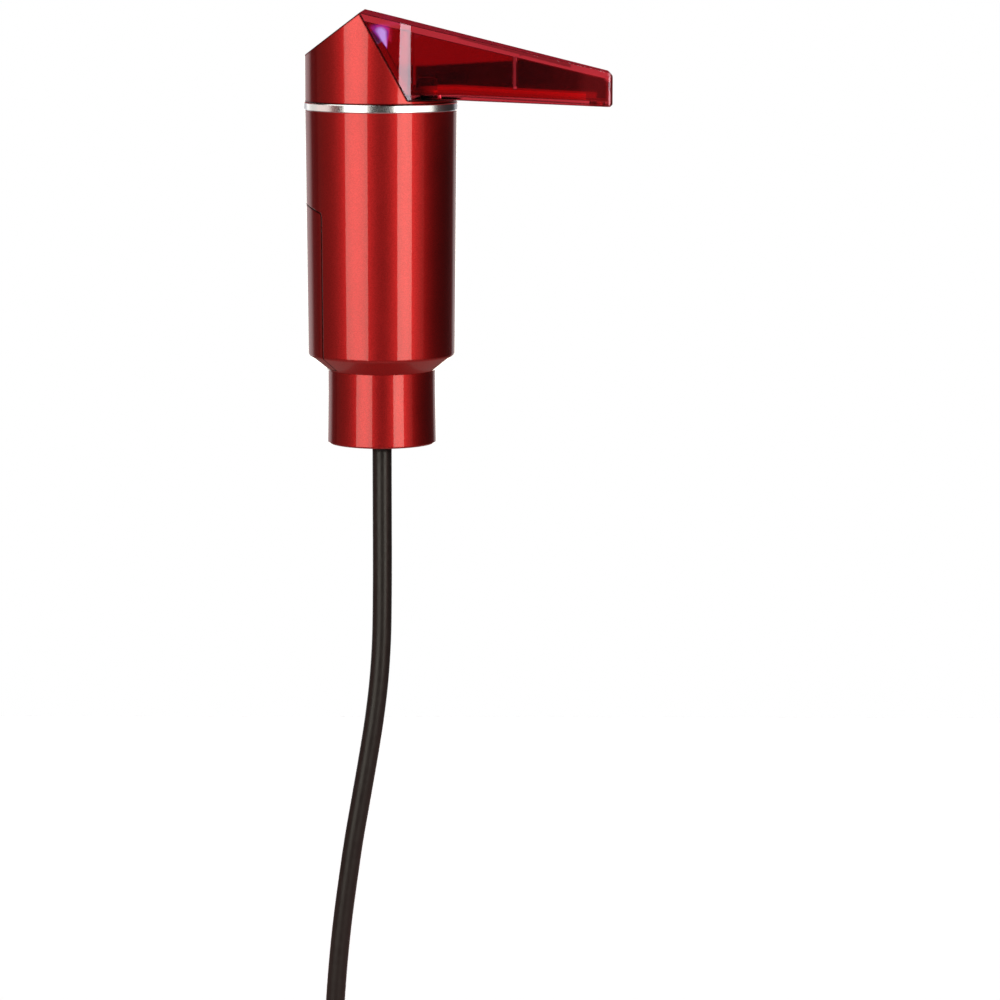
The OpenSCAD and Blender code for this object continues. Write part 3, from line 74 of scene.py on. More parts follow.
# Dip tube: route, outer and inner radius in metres, sides of its section, steps between two points
HOSE_ROUTE = [
    (0.0, 0.0, -0.023), (0.0, 0.0, -0.036), (0.0, 0.0, -0.050), (0.0, 0.0, -0.065),
    (-0.0001, 0.0, -0.080), (-0.0004, 0.0, -0.095), (-0.0014, 0.0, -0.110), (-0.0032, 0.0, -0.125),
    (-0.0056, 0.0, -0.140), (-0.0082, 0.0, -0.155), (-0.0108, 0.0, -0.170), (-0.0130, 0.0, -0.185),
    (-0.0150, 0.0, -0.200), (-0.0166, 0.0, -0.215), (-0.0178, 0.0, -0.230), (-0.0186, 0.0, -0.245),
    (-0.0190, 0.0, -0.260), (-0.0190, 0.0, -0.277),
]
HOSE_R = 0.0035
HOSE_BORE_R = 0.0025
HOSE_SIDES = 32
HOSE_STEPS = 4


def smooth_route(points, steps):
    """Points of a Catmull-Rom curve through the route."""
    vectors = [Vector(p) for p in points]
    ends = [2 * vectors[0] - vectors[1]] + vectors + [2 * vectors[-1] - vectors[-2]]
    out = []
    for i in range(1, len(ends) - 2):
        a, b, c, d = ends[i - 1], ends[i], ends[i + 1], ends[i + 2]
        for k in range(steps):
            t = k / steps
            out.append(0.5 * (2 * b + (c - a) * t + (2 * a - 5 * b + 4 * c - d) * t * t
                              + (3 * b - a - 3 * c + d) * t * t * t))
    out.append(vectors[-1])
    return out


def hose_points(path):
    """Rings of points along the path: first those of the outer wall, then those of the bore."""
    side = Vector((0.0, 1.0, 0.0))
    rings = []
    for i, p in enumerate(path):
        ahead = (path[min(i + 1, len(path) - 1)] - path[max(i - 1, 0)]).normalized()
        across = side.cross(ahead).normalized()
        rings.append((p, across, ahead.cross(across)))
    points = []
    for radius in (HOSE_R, HOSE_BORE_R):
        for p, across, other in rings:
            for k in range(HOSE_SIDES):
                angle = 2 * math.pi * k / HOSE_SIDES
                points.append(p + radius * (math.cos(angle) * across + math.sin(angle) * other))
    return [tuple(point) for point in points]


def hose_faces(count):
    """Faces of the outer wall and the bore between the rings, then those of the two flat ends."""
    inner = count * HOSE_SIDES
    last = (count - 1) * HOSE_SIDES
    faces = []
    for i in range(count - 1):
        for k in range(HOSE_SIDES):
            m = (k + 1) % HOSE_SIDES
            a, b = i * HOSE_SIDES, (i + 1) * HOSE_SIDES
            faces.append((a + k, a + m, b + m, b + k))
            faces.append((inner + a + k, inner + b + k, inner + b + m, inner + a + m))
    for k in range(HOSE_SIDES):
        m = (k + 1) % HOSE_SIDES
        faces.append((m, k, inner + k, inner + m))
        faces.append((last + k, last + m, inner + last + m, inner + last + k))
    return faces


def add_hose():
    """Smooth hollow tube on the dip tube's route, with smooth walls and flat ends."""
    path = smooth_route(HOSE_ROUTE, HOSE_STEPS)
    mesh = bpy.data.meshes.new("dip_hose")
    mesh.from_pydata(hose_points(path), [], hose_faces(len(path)))
    mesh.update()
    hose = bpy.data.objects.new("dip_hose", mesh)
    scene.collection.objects.link(hose)
    walls = (len(path) - 1) * HOSE_SIDES * 2
    for face in mesh.polygons:
        face.use_smooth = face.index < walls
    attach(hose, "main")
    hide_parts("dip_tube")
    return hose


# Materials: lengths in metres, linear colours

# Span of a factor over which a colour or a roughness changes
RAMP_LOW = 0.3
RAMP_HIGH = 0.7

# Plain surfaces: detail of the noise, depth of the relief, share by which the roughness varies
NOISE_DETAIL = 3.0
RELIEF_DEPTH = 0.00005
ROUGH_VARY = 0.15

# Sockets of a colour mix node
MIX_FACTOR = 0
MIX_FIRST = 6
MIX_SECOND = 7
MIX_RESULT = 2

# Radius of the shaded edges and of the painted dark lines along them, and rays that find them
EDGE_R = 0.0004
HEAD_EDGE_R = 0.0010
HEAD_LINE_R = 0.0014
COVER_LINE_R = 0.0008
CLEAR_EDGE_R = 0.0006
CLEAR_LINE_R = 0.0007
EDGE_SAMPLES = 6
LINE_SAMPLES = 8

# Painted dark line, a painted reflection of the dark studio in a rounded edge: cosine between the rounded and
# the flat normal where it is full and where it ends
LINE_FULL = 0.93
LINE_NONE = 0.995
PAINTED_LINE_COLOR = (0.02, 0.002, 0.002, 1.0)

# Painted dark rim around the spout's end face, painted shade at its rounded corners: the normal's share along
# X where it starts and where it ends
RIM_START = (0.45, 0.55)
RIM_END = (0.95, 0.98)

# Lacquer: scale and colours of the flakes, scale of the clouds in its roughness, clear coat
FLAKE_SCALE = 5000.0
FLAKE_DARK = (0.54, 0.020, 0.022)
FLAKE_LIGHT = (0.66, 0.028, 0.030)
CLOUD_SCALE = 60.0
LACQUER_ROUGH_LOW = 0.41
LACQUER_ROUGH_HIGH = 0.45
COAT_ROUGH = 0.03

# Clear plastic: scale and stretch of the flow marks, how they change colour and roughness
FLOW_SCALE = 70.0
FLOW_STRETCH = (0.4, 1.0, 1.0)
FLOW_DARK = 0.92
FLOW_ROUGH_VARY = 0.2
CLEAR_IOR = 1.5

# Painted glow of the clear pieces, which are no lamps: place along X and emission strength
PAINTED_GLOW_COLOR = (1.0, 0.09, 0.10, 1.0)
SPOUT_PAINTED_GLOW = [(0.045, 0.0), (0.069, 0.010), (0.073, 0.030)]
CHANNEL_PAINTED_GLOW = [(0.013, 0.0), (0.019, 0.19), (0.055, 0.20), (0.078, 0.30)]

# Wedge of the lamp's violet light painted into the spout's wall: X and Z of its top and tip, half width
# there, fade at both ends
WEDGE_TOP = (0.0005, 0.1272)
WEDGE_TIP = (0.0028, 0.1205)
WEDGE_HALF = 0.0037
WEDGE_TIP_HALF = 0.0003
WEDGE_FADE = 0.0014
# Share of the half width where it starts to fade, and shares of its light where strength and colour are full
WEDGE_MIDDLE = 0.1
WEDGE_STRONG = 0.25
WEDGE_VIOLET = 0.02
WEDGE_DEEP = (0.09, 0.012, 0.17)
WEDGE_PALE = (0.24, 0.21, 0.55)

# Lamp: grain and roughness of its body, X of the glowing core and how far the glow turns to deep violet
LAMP_GRAIN = 700.0
LAMP_DARK = (0.45, 0.35, 0.85)
LAMP_LIGHT = (0.55, 0.45, 0.95)
LAMP_ROUGH = 0.15
LAMP_CORE_X = 0.0007
LAMP_GLOW_R = 0.0020
LAMP_CORE_GLOW = (0.040, 0.50, 0.80)
LAMP_SIDE_GLOW = (0.015, 0.05, 0.26)
LAMP_STRENGTH = 4.0


def new_material(name):
    material = bpy.data.materials.new(name)
    material.use_nodes = True
    tree = material.node_tree
    return material, tree, tree.nodes["Principled BSDF"]


def add_node(tree, kind, **values):
    made = tree.nodes.new(kind)
    for key, value in values.items():
        setattr(made, key, value)
    return made


def axes_of(tree, kind="Object"):
    """X, Y and Z of the place on the piece, or of another kind of texture coordinate."""
    where = add_node(tree, "ShaderNodeTexCoord")
    split = add_node(tree, "ShaderNodeSeparateXYZ")
    tree.links.new(where.outputs[kind], split.inputs["Vector"])
    return split.outputs


def graded(tree, value, start, end, low, high):
    """A value mapped from one span to another, held at the span's ends."""
    change = add_node(tree, "ShaderNodeMapRange")
    for name, number in (("From Min", start), ("From Max", end), ("To Min", low), ("To Max", high)):
        change.inputs[name].default_value = number
    tree.links.new(value, change.inputs["Value"])
    return change.outputs["Result"]


def spread(tree, factor, low, high):
    """A value that changes with a noise."""
    return graded(tree, factor, RAMP_LOW, RAMP_HIGH, low, high)


def combine(tree, operation, first, second=None):
    """One or two values put through a math node; the second may be a plain number."""
    made = add_node(tree, "ShaderNodeMath", operation=operation)
    tree.links.new(first, made.inputs[0])
    if isinstance(second, float):
        made.inputs[1].default_value = second
    elif second is not None:
        tree.links.new(second, made.inputs[1])
    return made.outputs["Value"]


def blend_colors(tree, factor, first, second):
    """A colour that changes from the first to the second one with a factor."""
    ramp = add_node(tree, "ShaderNodeValToRGB")
    ramp.color_ramp.elements[0].position = RAMP_LOW
    ramp.color_ramp.elements[0].color = (*first, 1.0)
    ramp.color_ramp.elements[1].position = RAMP_HIGH
    ramp.color_ramp.elements[1].color = (*second, 1.0)
    tree.links.new(factor, ramp.inputs["Fac"])
    return ramp.outputs["Color"]


def lay_over(tree, factor, under, over):
    """One fixed colour where the factor is 0, and the colour laid over it where the factor is 1."""
    mix = add_node(tree, "ShaderNodeMix", data_type="RGBA")
    tree.links.new(factor, mix.inputs[MIX_FACTOR])
    mix.inputs[MIX_FIRST].default_value = under
    tree.links.new(over, mix.inputs[MIX_SECOND])
    return mix.outputs[MIX_RESULT]


def noise(tree, scale, stretch=(1.0, 1.0, 1.0)):
    """Noise in object space; a stretch above 1 packs the grain along that axis."""
    where = add_node(tree, "ShaderNodeTexCoord")
    mapping = add_node(tree, "ShaderNodeMapping")
    mapping.inputs["Scale"].default_value = stretch
    texture = add_node(tree, "ShaderNodeTexNoise")
    texture.inputs["Scale"].default_value = scale
    texture.inputs["Detail"].default_value = NOISE_DETAIL
    tree.links.new(where.outputs["Object"], mapping.inputs["Vector"])
    tree.links.new(mapping.outputs["Vector"], texture.inputs["Vector"])
    return texture.outputs["Fac"]


def bump(tree, shader, factor, strength):
    made = add_node(tree, "ShaderNodeBump")
    made.inputs["Strength"].default_value = strength
    made.inputs["Distance"].default_value = RELIEF_DEPTH
    tree.links.new(factor, made.inputs["Height"])
    tree.links.new(made.outputs["Normal"], shader.inputs["Normal"])


def plain(name, color, rough, metallic=0.0, grain=900.0, vary=0.12, relief=0.15,
          stretch=(1.0, 1.0, 1.0)):
    """A moulded or machined surface: colour, sheen and relief vary with one fine noise."""
    material, tree, shader = new_material(name)
    grit = noise(tree, grain, stretch)
    dark = tuple(c * (1.0 - vary) for c in color)
    light = tuple(min(1.0, c * (1.0 + vary)) for c in color)
    tree.links.new(blend_colors(tree, grit, dark, light), shader.inputs["Base Color"])
    smoother = rough * (1.0 - ROUGH_VARY)
    rougher = min(1.0, rough * (1.0 + ROUGH_VARY))
    tree.links.new(spread(tree, grit, smoother, rougher), shader.inputs["Roughness"])
    shader.inputs["Metallic"].default_value = metallic
    bump(tree, shader, grit, relief)
    return material


def round_edges(tree, shader, radius):
    """Shade sharp edges as if they had a small radius."""
    made = add_node(tree, "ShaderNodeBevel", samples=EDGE_SAMPLES)
    made.inputs["Radius"].default_value = radius
    for name in ("Normal", "Coat Normal"):
        tree.links.new(made.outputs["Normal"], shader.inputs[name])


def paint_edge_reflection(tree, shader, tint, radius, off_painted_rim=None):
    """Base colour with a painted dark line along sharp edges, a painted reflection of the dark studio in the
    rounded edge.

    The last argument is 0 on a rim that is painted dark as well and 1 elsewhere. The result is 0 on the line
    and 1 off it.
    """
    rounded = add_node(tree, "ShaderNodeBevel", samples=LINE_SAMPLES)
    rounded.inputs["Radius"].default_value = radius
    face = add_node(tree, "ShaderNodeNewGeometry")
    agree = add_node(tree, "ShaderNodeVectorMath", operation="DOT_PRODUCT")
    tree.links.new(rounded.outputs["Normal"], agree.inputs[0])
    tree.links.new(face.outputs["Normal"], agree.inputs[1])
    off_line = graded(tree, agree.outputs["Value"], LINE_FULL, LINE_NONE, 0.0, 1.0)
    light = off_line if off_painted_rim is None else combine(tree, "MULTIPLY", off_line, off_painted_rim)
    tree.links.new(lay_over(tree, light, PAINTED_LINE_COLOR, tint), shader.inputs["Base Color"])
    return off_line


def off_painted_tip_rim(tree):
    """0 on the painted dark rim around the spout's end face and 1 elsewhere, told by the normal's share along
    X.
    """
    face = add_node(tree, "ShaderNodeNewGeometry")
    split = add_node(tree, "ShaderNodeSeparateXYZ")
    tree.links.new(face.outputs["Normal"], split.inputs["Vector"])
    side = graded(tree, split.outputs["X"], *RIM_START, 1.0, 0.0)
    end = graded(tree, split.outputs["X"], *RIM_END, 0.0, 1.0)
    return combine(tree, "MAXIMUM", side, end)


def lacquer(name, edge_r, line_r=None):
    """Red metallic lacquer: flakes under a clear coat, on rounded edges, with a painted dark line where
    asked.
    """
    material, tree, shader = new_material(name)
    where = add_node(tree, "ShaderNodeTexCoord")
    flakes = add_node(tree, "ShaderNodeTexVoronoi")
    flakes.inputs["Scale"].default_value = FLAKE_SCALE
    tree.links.new(where.outputs["Object"], flakes.inputs["Vector"])
    shade = add_node(tree, "ShaderNodeSeparateColor")
    tree.links.new(flakes.outputs["Color"], shade.inputs["Color"])
    tint = blend_colors(tree, shade.outputs["Red"], FLAKE_DARK, FLAKE_LIGHT)
    cloud = noise(tree, CLOUD_SCALE)
    rough = spread(tree, cloud, LACQUER_ROUGH_LOW, LACQUER_ROUGH_HIGH)
    tree.links.new(rough, shader.inputs["Roughness"])
    shader.inputs["Metallic"].default_value = 1.0
    shader.inputs["Coat Roughness"].default_value = COAT_ROUGH
    round_edges(tree, shader, edge_r)
    if line_r is None:
        tree.links.new(tint, shader.inputs["Base Color"])
        shader.inputs["Coat Weight"].default_value = 1.0
    else:
        off_line = paint_edge_reflection(tree, shader, tint, line_r)
        tree.links.new(off_line, shader.inputs["Coat Weight"])
    return material


def painted_glow_along(tree, stops):
    """Painted glow along a clear piece, which is no lamp: emission strength at places along X."""
    start, end = stops[0][0], stops[-1][0]
    share = graded(tree, axes_of(tree)["X"], start, end, 0.0, 1.0)
    ramp = add_node(tree, "ShaderNodeValToRGB")
    marks = ramp.color_ramp.elements
    while len(marks) < len(stops):
        marks.new(1.0)
    for mark, (x, strength) in zip(marks, stops):
        mark.position = (x - start) / (end - start)
        mark.color = (strength, strength, strength, 1.0)
    tree.links.new(share, ramp.inputs["Fac"])
    return ramp.outputs["Color"]


def painted_lamp_wedge(tree, shader, glow):
    """Violet light of the lamp painted into the clear wall: a wedge with a pale middle and its tip down."""
    axes = axes_of(tree)
    x, z = axes["X"], axes["Z"]
    top, tip = WEDGE_TOP[1], WEDGE_TIP[1]
    middle = graded(tree, z, tip, top, WEDGE_TIP[0], WEDGE_TOP[0])
    half = graded(tree, z, tip, top, WEDGE_TIP_HALF, WEDGE_HALF)
    aside = combine(tree, "ABSOLUTE", combine(tree, "SUBTRACT", x, middle))
    inside = graded(tree, combine(tree, "DIVIDE", aside, half), WEDGE_MIDDLE, 1.0, 1.0, 0.0)
    below_top = graded(tree, z, top - WEDGE_FADE, top + WEDGE_FADE, 1.0, 0.0)
    above_tip = graded(tree, z, tip - WEDGE_FADE / 2, tip + WEDGE_FADE / 2, 0.0, 1.0)
    share = combine(tree, "MULTIPLY", combine(tree, "MULTIPLY", inside, below_top), above_tip)
    strength = graded(tree, share, 0.0, WEDGE_STRONG, 0.0, 1.0)
    tone = graded(tree, share, 0.0, WEDGE_VIOLET, 0.0, 1.0)
    violet = blend_colors(tree, share, WEDGE_DEEP, WEDGE_PALE)
    tree.links.new(lay_over(tree, tone, PAINTED_GLOW_COLOR, violet), shader.inputs["Emission Color"])
    return combine(tree, "ADD", glow, strength)


def clear_red(name, color, rough, stops, wedge=False):
    """Tinted clear plastic with faint flow marks, painted dark edges and a painted glow along X."""
    material, tree, shader = new_material(name)
    flow = noise(tree, FLOW_SCALE, FLOW_STRETCH)
    tint = blend_colors(tree, flow, tuple(c * FLOW_DARK for c in color), color)
    paint_edge_reflection(tree, shader, tint, CLEAR_LINE_R, off_painted_tip_rim(tree))
    smoother = rough * (1.0 - FLOW_ROUGH_VARY)
    rougher = rough * (1.0 + FLOW_ROUGH_VARY)
    tree.links.new(spread(tree, flow, smoother, rougher), shader.inputs["Roughness"])
    shader.inputs["Transmission Weight"].default_value = 1.0
    shader.inputs["IOR"].default_value = CLEAR_IOR
    shader.inputs["Emission Color"].default_value = PAINTED_GLOW_COLOR
    glow = painted_glow_along(tree, stops)
    if wedge:
        glow = painted_lamp_wedge(tree, shader, glow)
    tree.links.new(glow, shader.inputs["Emission Strength"])
    round_edges(tree, shader, CLEAR_EDGE_R)
    return material


def lamp(name):
    """Violet lamp: a pale core along its middle, deeper violet to both sides."""
    material, tree, shader = new_material(name)
    grit = noise(tree, LAMP_GRAIN)
    tree.links.new(blend_colors(tree, grit, LAMP_DARK, LAMP_LIGHT), shader.inputs["Base Color"])
    shader.inputs["Roughness"].default_value = LAMP_ROUGH
    aside = combine(tree, "ABSOLUTE", combine(tree, "SUBTRACT", axes_of(tree)["X"], LAMP_CORE_X))
    share = graded(tree, aside, 0.0, LAMP_GLOW_R, 0.0, 1.0)
    glow = blend_colors(tree, share, LAMP_CORE_GLOW, LAMP_SIDE_GLOW)
    tree.links.new(glow, shader.inputs["Emission Color"])
    shader.inputs["Emission Strength"].default_value = LAMP_STRENGTH
    return material


def paint_pieces(hose):
    """Give every piece its material."""
    red = lacquer("red_lacquer", EDGE_R)
    # The head's and the cover's lacquer carry a painted dark line along their sharp edges, painted reflection
    # of the dark studio.
    head_red = lacquer("head_lacquer", HEAD_EDGE_R, HEAD_LINE_R)
    cover_red = lacquer("cover_lacquer", EDGE_R, COVER_LINE_R)
    # The clear pieces carry a painted glow, and the spout also a painted dark rim and the lamp's painted
    # light.
    clear = clear_red("clear_red", (0.47, 0.028, 0.040), 0.02, SPOUT_PAINTED_GLOW, wedge=True)
    channel = clear_red("channel_red", (0.75, 0.06, 0.08), 0.10, CHANNEL_PAINTED_GLOW)
    bright = plain("bright_ring", (0.85, 0.86, 0.93), 0.22, metallic=1.0, grain=2500.0, vary=0.02,
                   relief=0.001)
    dark = plain("dark_plastic", (0.035, 0.035, 0.038), 0.5)
    pale = plain("pale_plastic", (0.62, 0.62, 0.60), 0.45)
    gear = plain("gear_plastic", (0.78, 0.77, 0.72), 0.4)
    silicone = plain("silicone", (0.03, 0.03, 0.032), 0.6, grain=500.0)
    rubber = plain("hose", (0.025, 0.022, 0.022), 0.35, grain=300.0)
    milky = plain("milky_tube", (0.75, 0.75, 0.74), 0.35)
    steel = plain("screw_steel", (0.52, 0.52, 0.54), 0.32, metallic=1.0)
    nickel = plain("nickel", (0.62, 0.63, 0.65), 0.28, metallic=1.0, stretch=(1.0, 1.0, 0.05))
    brass = plain("contact_brass", (0.70, 0.52, 0.22), 0.3, metallic=1.0)
    wrap = plain("cell_wrap", (0.05, 0.10, 0.17), 0.25, grain=200.0)
    board = plain("board_green", (0.02, 0.14, 0.05), 0.4, grain=300.0)
    black = plain("component_black", (0.02, 0.02, 0.02), 0.45)
    wire = plain("wire_red", (0.45, 0.02, 0.02), 0.4)
    violet = lamp("violet_lamp")
    finish = {
        red: ("body_shell", "collar", "power_button"),
        cover_red: ("battery_cover",),
        head_red: ("head_cap",),
        clear: ("spout",),
        channel: ("pour_channel",),
        bright: ("trim_ring",),
        dark: ("chassis", "motor_clamp", "battery_holder", "aerator_nozzle"),
        pale: ("intake_barb", "pump_housing", "pump_cover", "motor_end_bell"),
        gear: ("drive_gear", "driven_gear"),
        silicone: ("stopper", "pump_gasket", "shaft_seal", "nozzle_o_ring"),
        rubber: ("dip_tube",),
        milky: ("delivery_tube",),
        steel: ("collar_screws", "idler_pin", "pump_screws", "motor_shaft", "clamp_screws", "board_screws",
                "head_screws", "switch_screws"),
        nickel: ("motor_can", "battery_springs", "battery_contacts"),
        brass: ("motor_terminals",),
        wrap: ("battery_cells",),
        board: ("control_board", "switch_board"),
        black: ("board_components", "tact_switch", "switch_plunger"),
        wire: ("lead_wires",),
        violet: ("indicator_led",),
    }
    for material, names in finish.items():
        for name in names:
            slots = nodes[name].data.materials
            slots.clear()
            slots.append(material)
    hose.data.materials.append(rubber)


# Studio: lengths in metres, angles in degrees

# Floor: height, half its width, brightness; share of it that the sun gives and a shadow takes
FLOOR_Z = -0.30
FLOOR_HALF = 0.8
FLOOR_COLOR = 0.8
FLOOR_ROUGH = 0.8
FLOOR_GRAIN = 40.0
FLOOR_SHADE = 0.3
FLOOR_LIFT = 0.01
SUN_ANGLE = 25.0

# Pool of light on the floor that reflections see: radius and strength at its middle and at its edge
POOL_INNER = 0.10
POOL_OUTER = 0.80
POOL_LEVEL = 0.38
POOL_EDGE = 0.10
POOL_COLOR = (1.0, 0.6, 0.55, 1.0)

# Surround that reflections see: share of a direction along a turned Y axis where it grows pale, strengths
BEHIND_TURN = -0.12
BEHIND_START = 0.72
BEHIND_END = 0.84
SURROUND_DARK = 0.02
SURROUND_PALE = 0.6
# Share of a direction along Z over which the dark red above turns to white, and both colours
HORIZON_START = 0.005
HORIZON_END = -0.012
UPPER_COLOR = (0.40, 0.02, 0.035)
LOWER_COLOR = (1.0, 1.0, 1.0)

# Cards behind the spout: distance from the camera, brightness, and corners as image places in pixels
CARD_DEPTH = 2.2
CARD_COLOR = (0.05, 0.05, 0.05)
CARD_ROUGH = 0.9
DARK_CARD_LEVEL = 0.0
DARK_CARDS_PX = [
    [(409, 66), (512, 60), (516, 56), (606, 77), (606, 104), (590, 104), (590, 92), (424, 87), (424, 106),
     (409, 106)],
    [(610, 66), (622, 66), (622, 110), (610, 110)],
]
GREY_CARD_LEVEL = 0.5
GREY_CARDS_PX = [[(90, -60), (207, -60), (207, 88), (90, 88)]]

# Softboxes: distance from the point that they face, height, colours
LIGHT_DISTANCE = 3.0
LIGHT_AIM = (0.0, 0.0, 0.05)
BOX_HEIGHT = 4.0
TOP_BOX_HEIGHT = 2.0
SPOUT_BOX_HEIGHT = 1.2
LIGHT_COLOR = (1.0, 0.97, 0.84)
SPOUT_LIGHT_COLOR = (1.0, 0.88, 0.98)
SIDE_LIGHT_COLOR = (1.0, 0.30, 0.25)


def seen_directly(tree):
    """1 for rays from the camera, straight or through a clear piece, and 0 for the others."""
    light_path = add_node(tree, "ShaderNodeLightPath")
    return combine(tree, "MAXIMUM", light_path.outputs["Is Camera Ray"],
                   light_path.outputs["Is Transmission Ray"])


def floor_material():
    """White paper where seen directly; a pool of light under the part for the other rays."""
    material = plain("floor_paper", (FLOOR_COLOR, FLOOR_COLOR, FLOOR_COLOR), FLOOR_ROUGH,
                     grain=FLOOR_GRAIN, vary=0.01, relief=0.02)
    tree = material.node_tree
    paper = tree.nodes["Principled BSDF"]
    paper.inputs["Specular IOR Level"].default_value = 0.0
    paper.inputs["Emission Color"].default_value = (1.0, 1.0, 1.0, 1.0)
    paper.inputs["Emission Strength"].default_value = 1.0 - FLOOR_SHADE + FLOOR_LIFT
    where = add_node(tree, "ShaderNodeTexCoord")
    reach = add_node(tree, "ShaderNodeVectorMath", operation="LENGTH")
    tree.links.new(where.outputs["Object"], reach.inputs[0])
    level = graded(tree, reach.outputs["Value"], POOL_INNER, POOL_OUTER, POOL_LEVEL, POOL_EDGE)
    pool = add_node(tree, "ShaderNodeEmission")
    pool.inputs["Color"].default_value = POOL_COLOR
    tree.links.new(level, pool.inputs["Strength"])
    choice = add_node(tree, "ShaderNodeMixShader")
    tree.links.new(seen_directly(tree), choice.inputs[0])
    tree.links.new(pool.outputs["Emission"], choice.inputs[1])
    tree.links.new(paper.outputs["BSDF"], choice.inputs[2])
    tree.links.new(choice.outputs["Shader"], tree.nodes["Material Output"].inputs["Surface"])
    return material


def add_floor():
    """Floor that keeps the part's shadow."""
    half = FLOOR_HALF
    corners = [(-half, -half, 0.0), (half, -half, 0.0), (half, half, 0.0), (-half, half, 0.0)]
    mesh = bpy.data.meshes.new("floor")
    mesh.from_pydata(corners, [], [(0, 1, 2, 3)])
    floor = bpy.data.objects.new("floor", mesh)
    floor.location.z = FLOOR_Z
    scene.collection.objects.link(floor)
    floor.data.materials.append(floor_material())
    return floor


def add_world():
    """White where seen directly; for reflections pale behind the part and nearly black elsewhere.

    What reflections see is white below the horizon and dark red above it.
    """
    world = bpy.data.worlds.new("studio")
    world.use_nodes = True
    tree = world.node_tree
    tree.nodes.clear()
    axes = axes_of(tree, "Generated")
    turned = combine(tree, "ADD", combine(tree, "MULTIPLY", axes["X"], BEHIND_TURN), axes["Y"])
    behind = graded(tree, turned, BEHIND_START, BEHIND_END, SURROUND_DARK, SURROUND_PALE)
    below = graded(tree, axes["Z"], HORIZON_START, HORIZON_END, 0.0, 1.0)
    direct = seen_directly(tree)
    white = combine(tree, "MAXIMUM", direct, below)
    background = add_node(tree, "ShaderNodeBackground")
    tree.links.new(combine(tree, "MAXIMUM", direct, behind), background.inputs["Strength"])
    tint = blend_colors(tree, white, UPPER_COLOR, LOWER_COLOR)
    tree.links.new(tint, background.inputs["Color"])
    output = add_node(tree, "ShaderNodeOutputWorld")
    tree.links.new(background.outputs["Background"], output.inputs["Surface"])
    scene.world = world


def image_point(x, y, depth):
    """Point at a distance from the camera's plane that the camera sees at the image place x, y."""
    eye = scene.camera.matrix_world
    focal = CAMERA_FOCAL * IMAGE_PX
    middle = IMAGE_PX / 2
    return eye @ Vector(((x - middle) / focal * depth, (middle - y) / focal * depth, -depth))


def add_cards(name, outlines, level):
    """Cards behind the spout, seen only through its clear walls, that shade part of it."""
    corners = []
    cards = []
    for outline in outlines:
        cards.append(range(len(corners), len(corners) + len(outline)))
        corners.extend(image_point(x, y, CARD_DEPTH) for x, y in outline)
    mesh = bpy.data.meshes.new(name)
    mesh.from_pydata(corners, [], cards)
    card = bpy.data.objects.new(name, mesh)
    scene.collection.objects.link(card)
    material = plain(name + "_cloth", CARD_COLOR, CARD_ROUGH)
    tree = material.node_tree
    shade = add_node(tree, "ShaderNodeEmission")
    shade.inputs["Strength"].default_value = level
    tree.links.new(shade.outputs["Emission"], tree.nodes["Material Output"].inputs["Surface"])
    card.data.materials.append(material)
    card.visible_camera = False
    card.visible_diffuse = False
    card.visible_glossy = False
    card.visible_shadow = False


def light_only(light, pieces):
    """Let a light reach only some pieces."""
    lit = bpy.data.collections.new(light.name + "_lights")
    for piece in pieces:
        lit.objects.link(piece)
    light.light_linking.receiver_collection = lit


def add_sun(floor):
    """Soft light from above that reaches only the floor and leaves the part's shadow on it."""
    data = bpy.data.lights.new("sun", "SUN")
    data.angle = math.radians(SUN_ANGLE)
    data.energy = FLOOR_SHADE * math.pi / FLOOR_COLOR
    sun = bpy.data.objects.new("sun", data)
    scene.collection.objects.link(sun)
    light_only(sun, [floor])


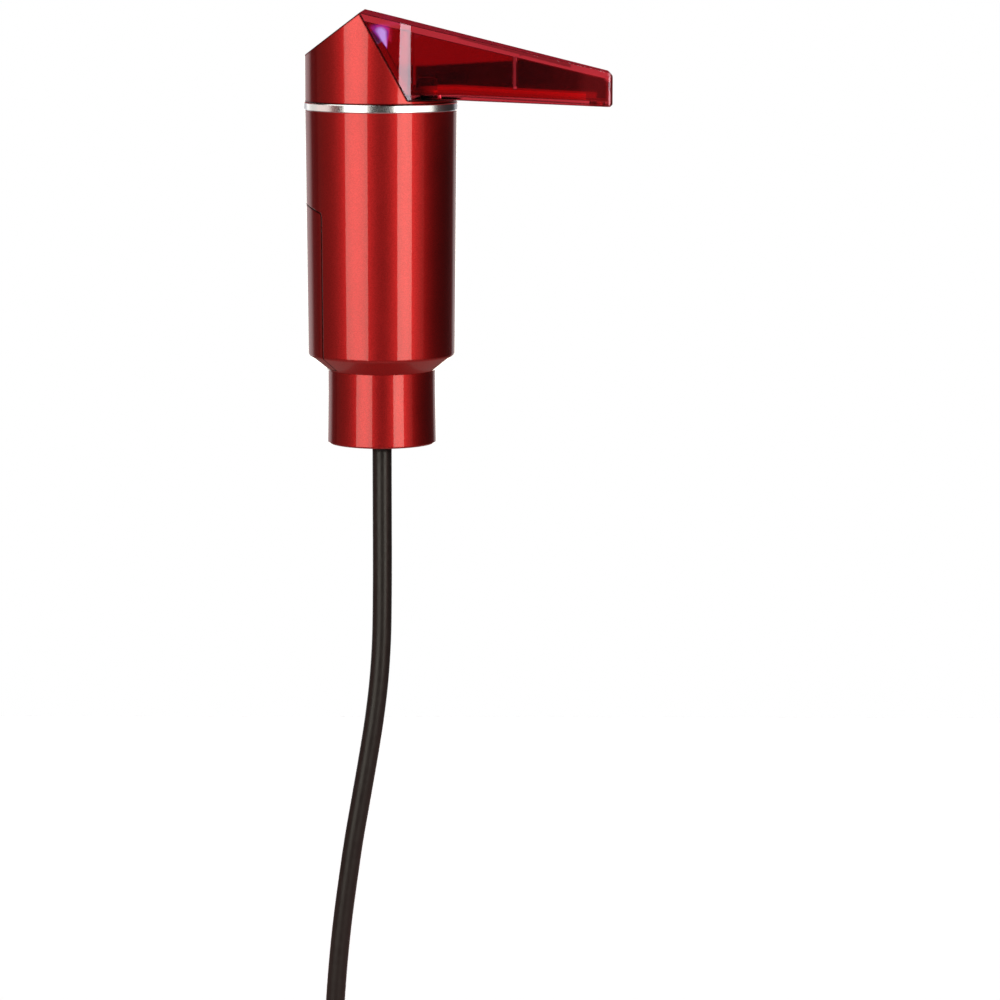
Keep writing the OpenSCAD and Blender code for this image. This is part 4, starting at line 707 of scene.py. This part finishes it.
def add_softbox(name, pieces, azimuth, width, radiance, color=LIGHT_COLOR, height=BOX_HEIGHT, elevation=0.0):
    """Softbox that faces the part and lights some pieces.

    The azimuth is measured from the camera's side, positive to the right, the elevation from the level of the
    point that it faces. The width is an angle seen from there, and the height is in metres.
    """
    across = 2 * LIGHT_DISTANCE * math.tan(math.radians(width) / 2)
    data = bpy.data.lights.new(name, "AREA")
    data.shape = "RECTANGLE"
    data.size = across
    data.size_y = height
    data.energy = radiance * math.pi * across * height
    data.color = color
    box = bpy.data.objects.new(name, data)
    turn = math.radians(azimuth)
    lift = math.radians(elevation)
    toward = Vector((math.sin(turn) * math.cos(lift), -math.cos(turn) * math.cos(lift), math.sin(lift)))
    at = Vector(LIGHT_AIM) + LIGHT_DISTANCE * toward
    box.matrix_world = Matrix.Translation(at) @ toward.to_track_quat("Z", "Y").to_matrix().to_4x4()
    scene.collection.objects.link(box)
    light_only(box, pieces)


def add_softboxes(hose):
    """Narrow lights on the lacquer, with lights of their own for the ring and the spout."""
    spout = [nodes["spout"]]
    ring = [nodes["trim_ring"]]
    others = [piece for name, piece in nodes.items() if name != "spout"] + [hose]
    add_softbox("left_box", others, azimuth=-36.8, width=35.6, radiance=2.35)
    add_softbox("side_box", others, azimuth=-88.0, width=45.0, radiance=0.19, color=SIDE_LIGHT_COLOR)
    add_softbox("right_box", others, azimuth=37.6, width=22.8, radiance=3.2)
    add_softbox("edge_box", others, azimuth=59.0, width=22.0, radiance=0.45, color=SIDE_LIGHT_COLOR)
    add_softbox("ring_box", ring, azimuth=54.0, width=66.0, radiance=1.3)
    add_softbox("ring_left_box", ring, azimuth=-112.0, width=66.0, radiance=0.75)
    add_softbox("rear_box", others, azimuth=180.0, width=22.0, radiance=2.2)
    add_softbox("top_box", others, azimuth=-120.0, width=40.0, radiance=1.6, height=TOP_BOX_HEIGHT,
                elevation=65.0)
    add_softbox("spout_box", spout, azimuth=38.6, width=16.2, radiance=9.4, color=SPOUT_LIGHT_COLOR,
                height=SPOUT_BOX_HEIGHT)


add_camera()
dip_hose = add_hose()
paint_pieces(dip_hose)
add_sun(add_floor())
add_world()
add_cards("dark_flags", DARK_CARDS_PX, DARK_CARD_LEVEL)
add_cards("grey_flags", GREY_CARDS_PX, GREY_CARD_LEVEL)
add_softboxes(dip_hose)
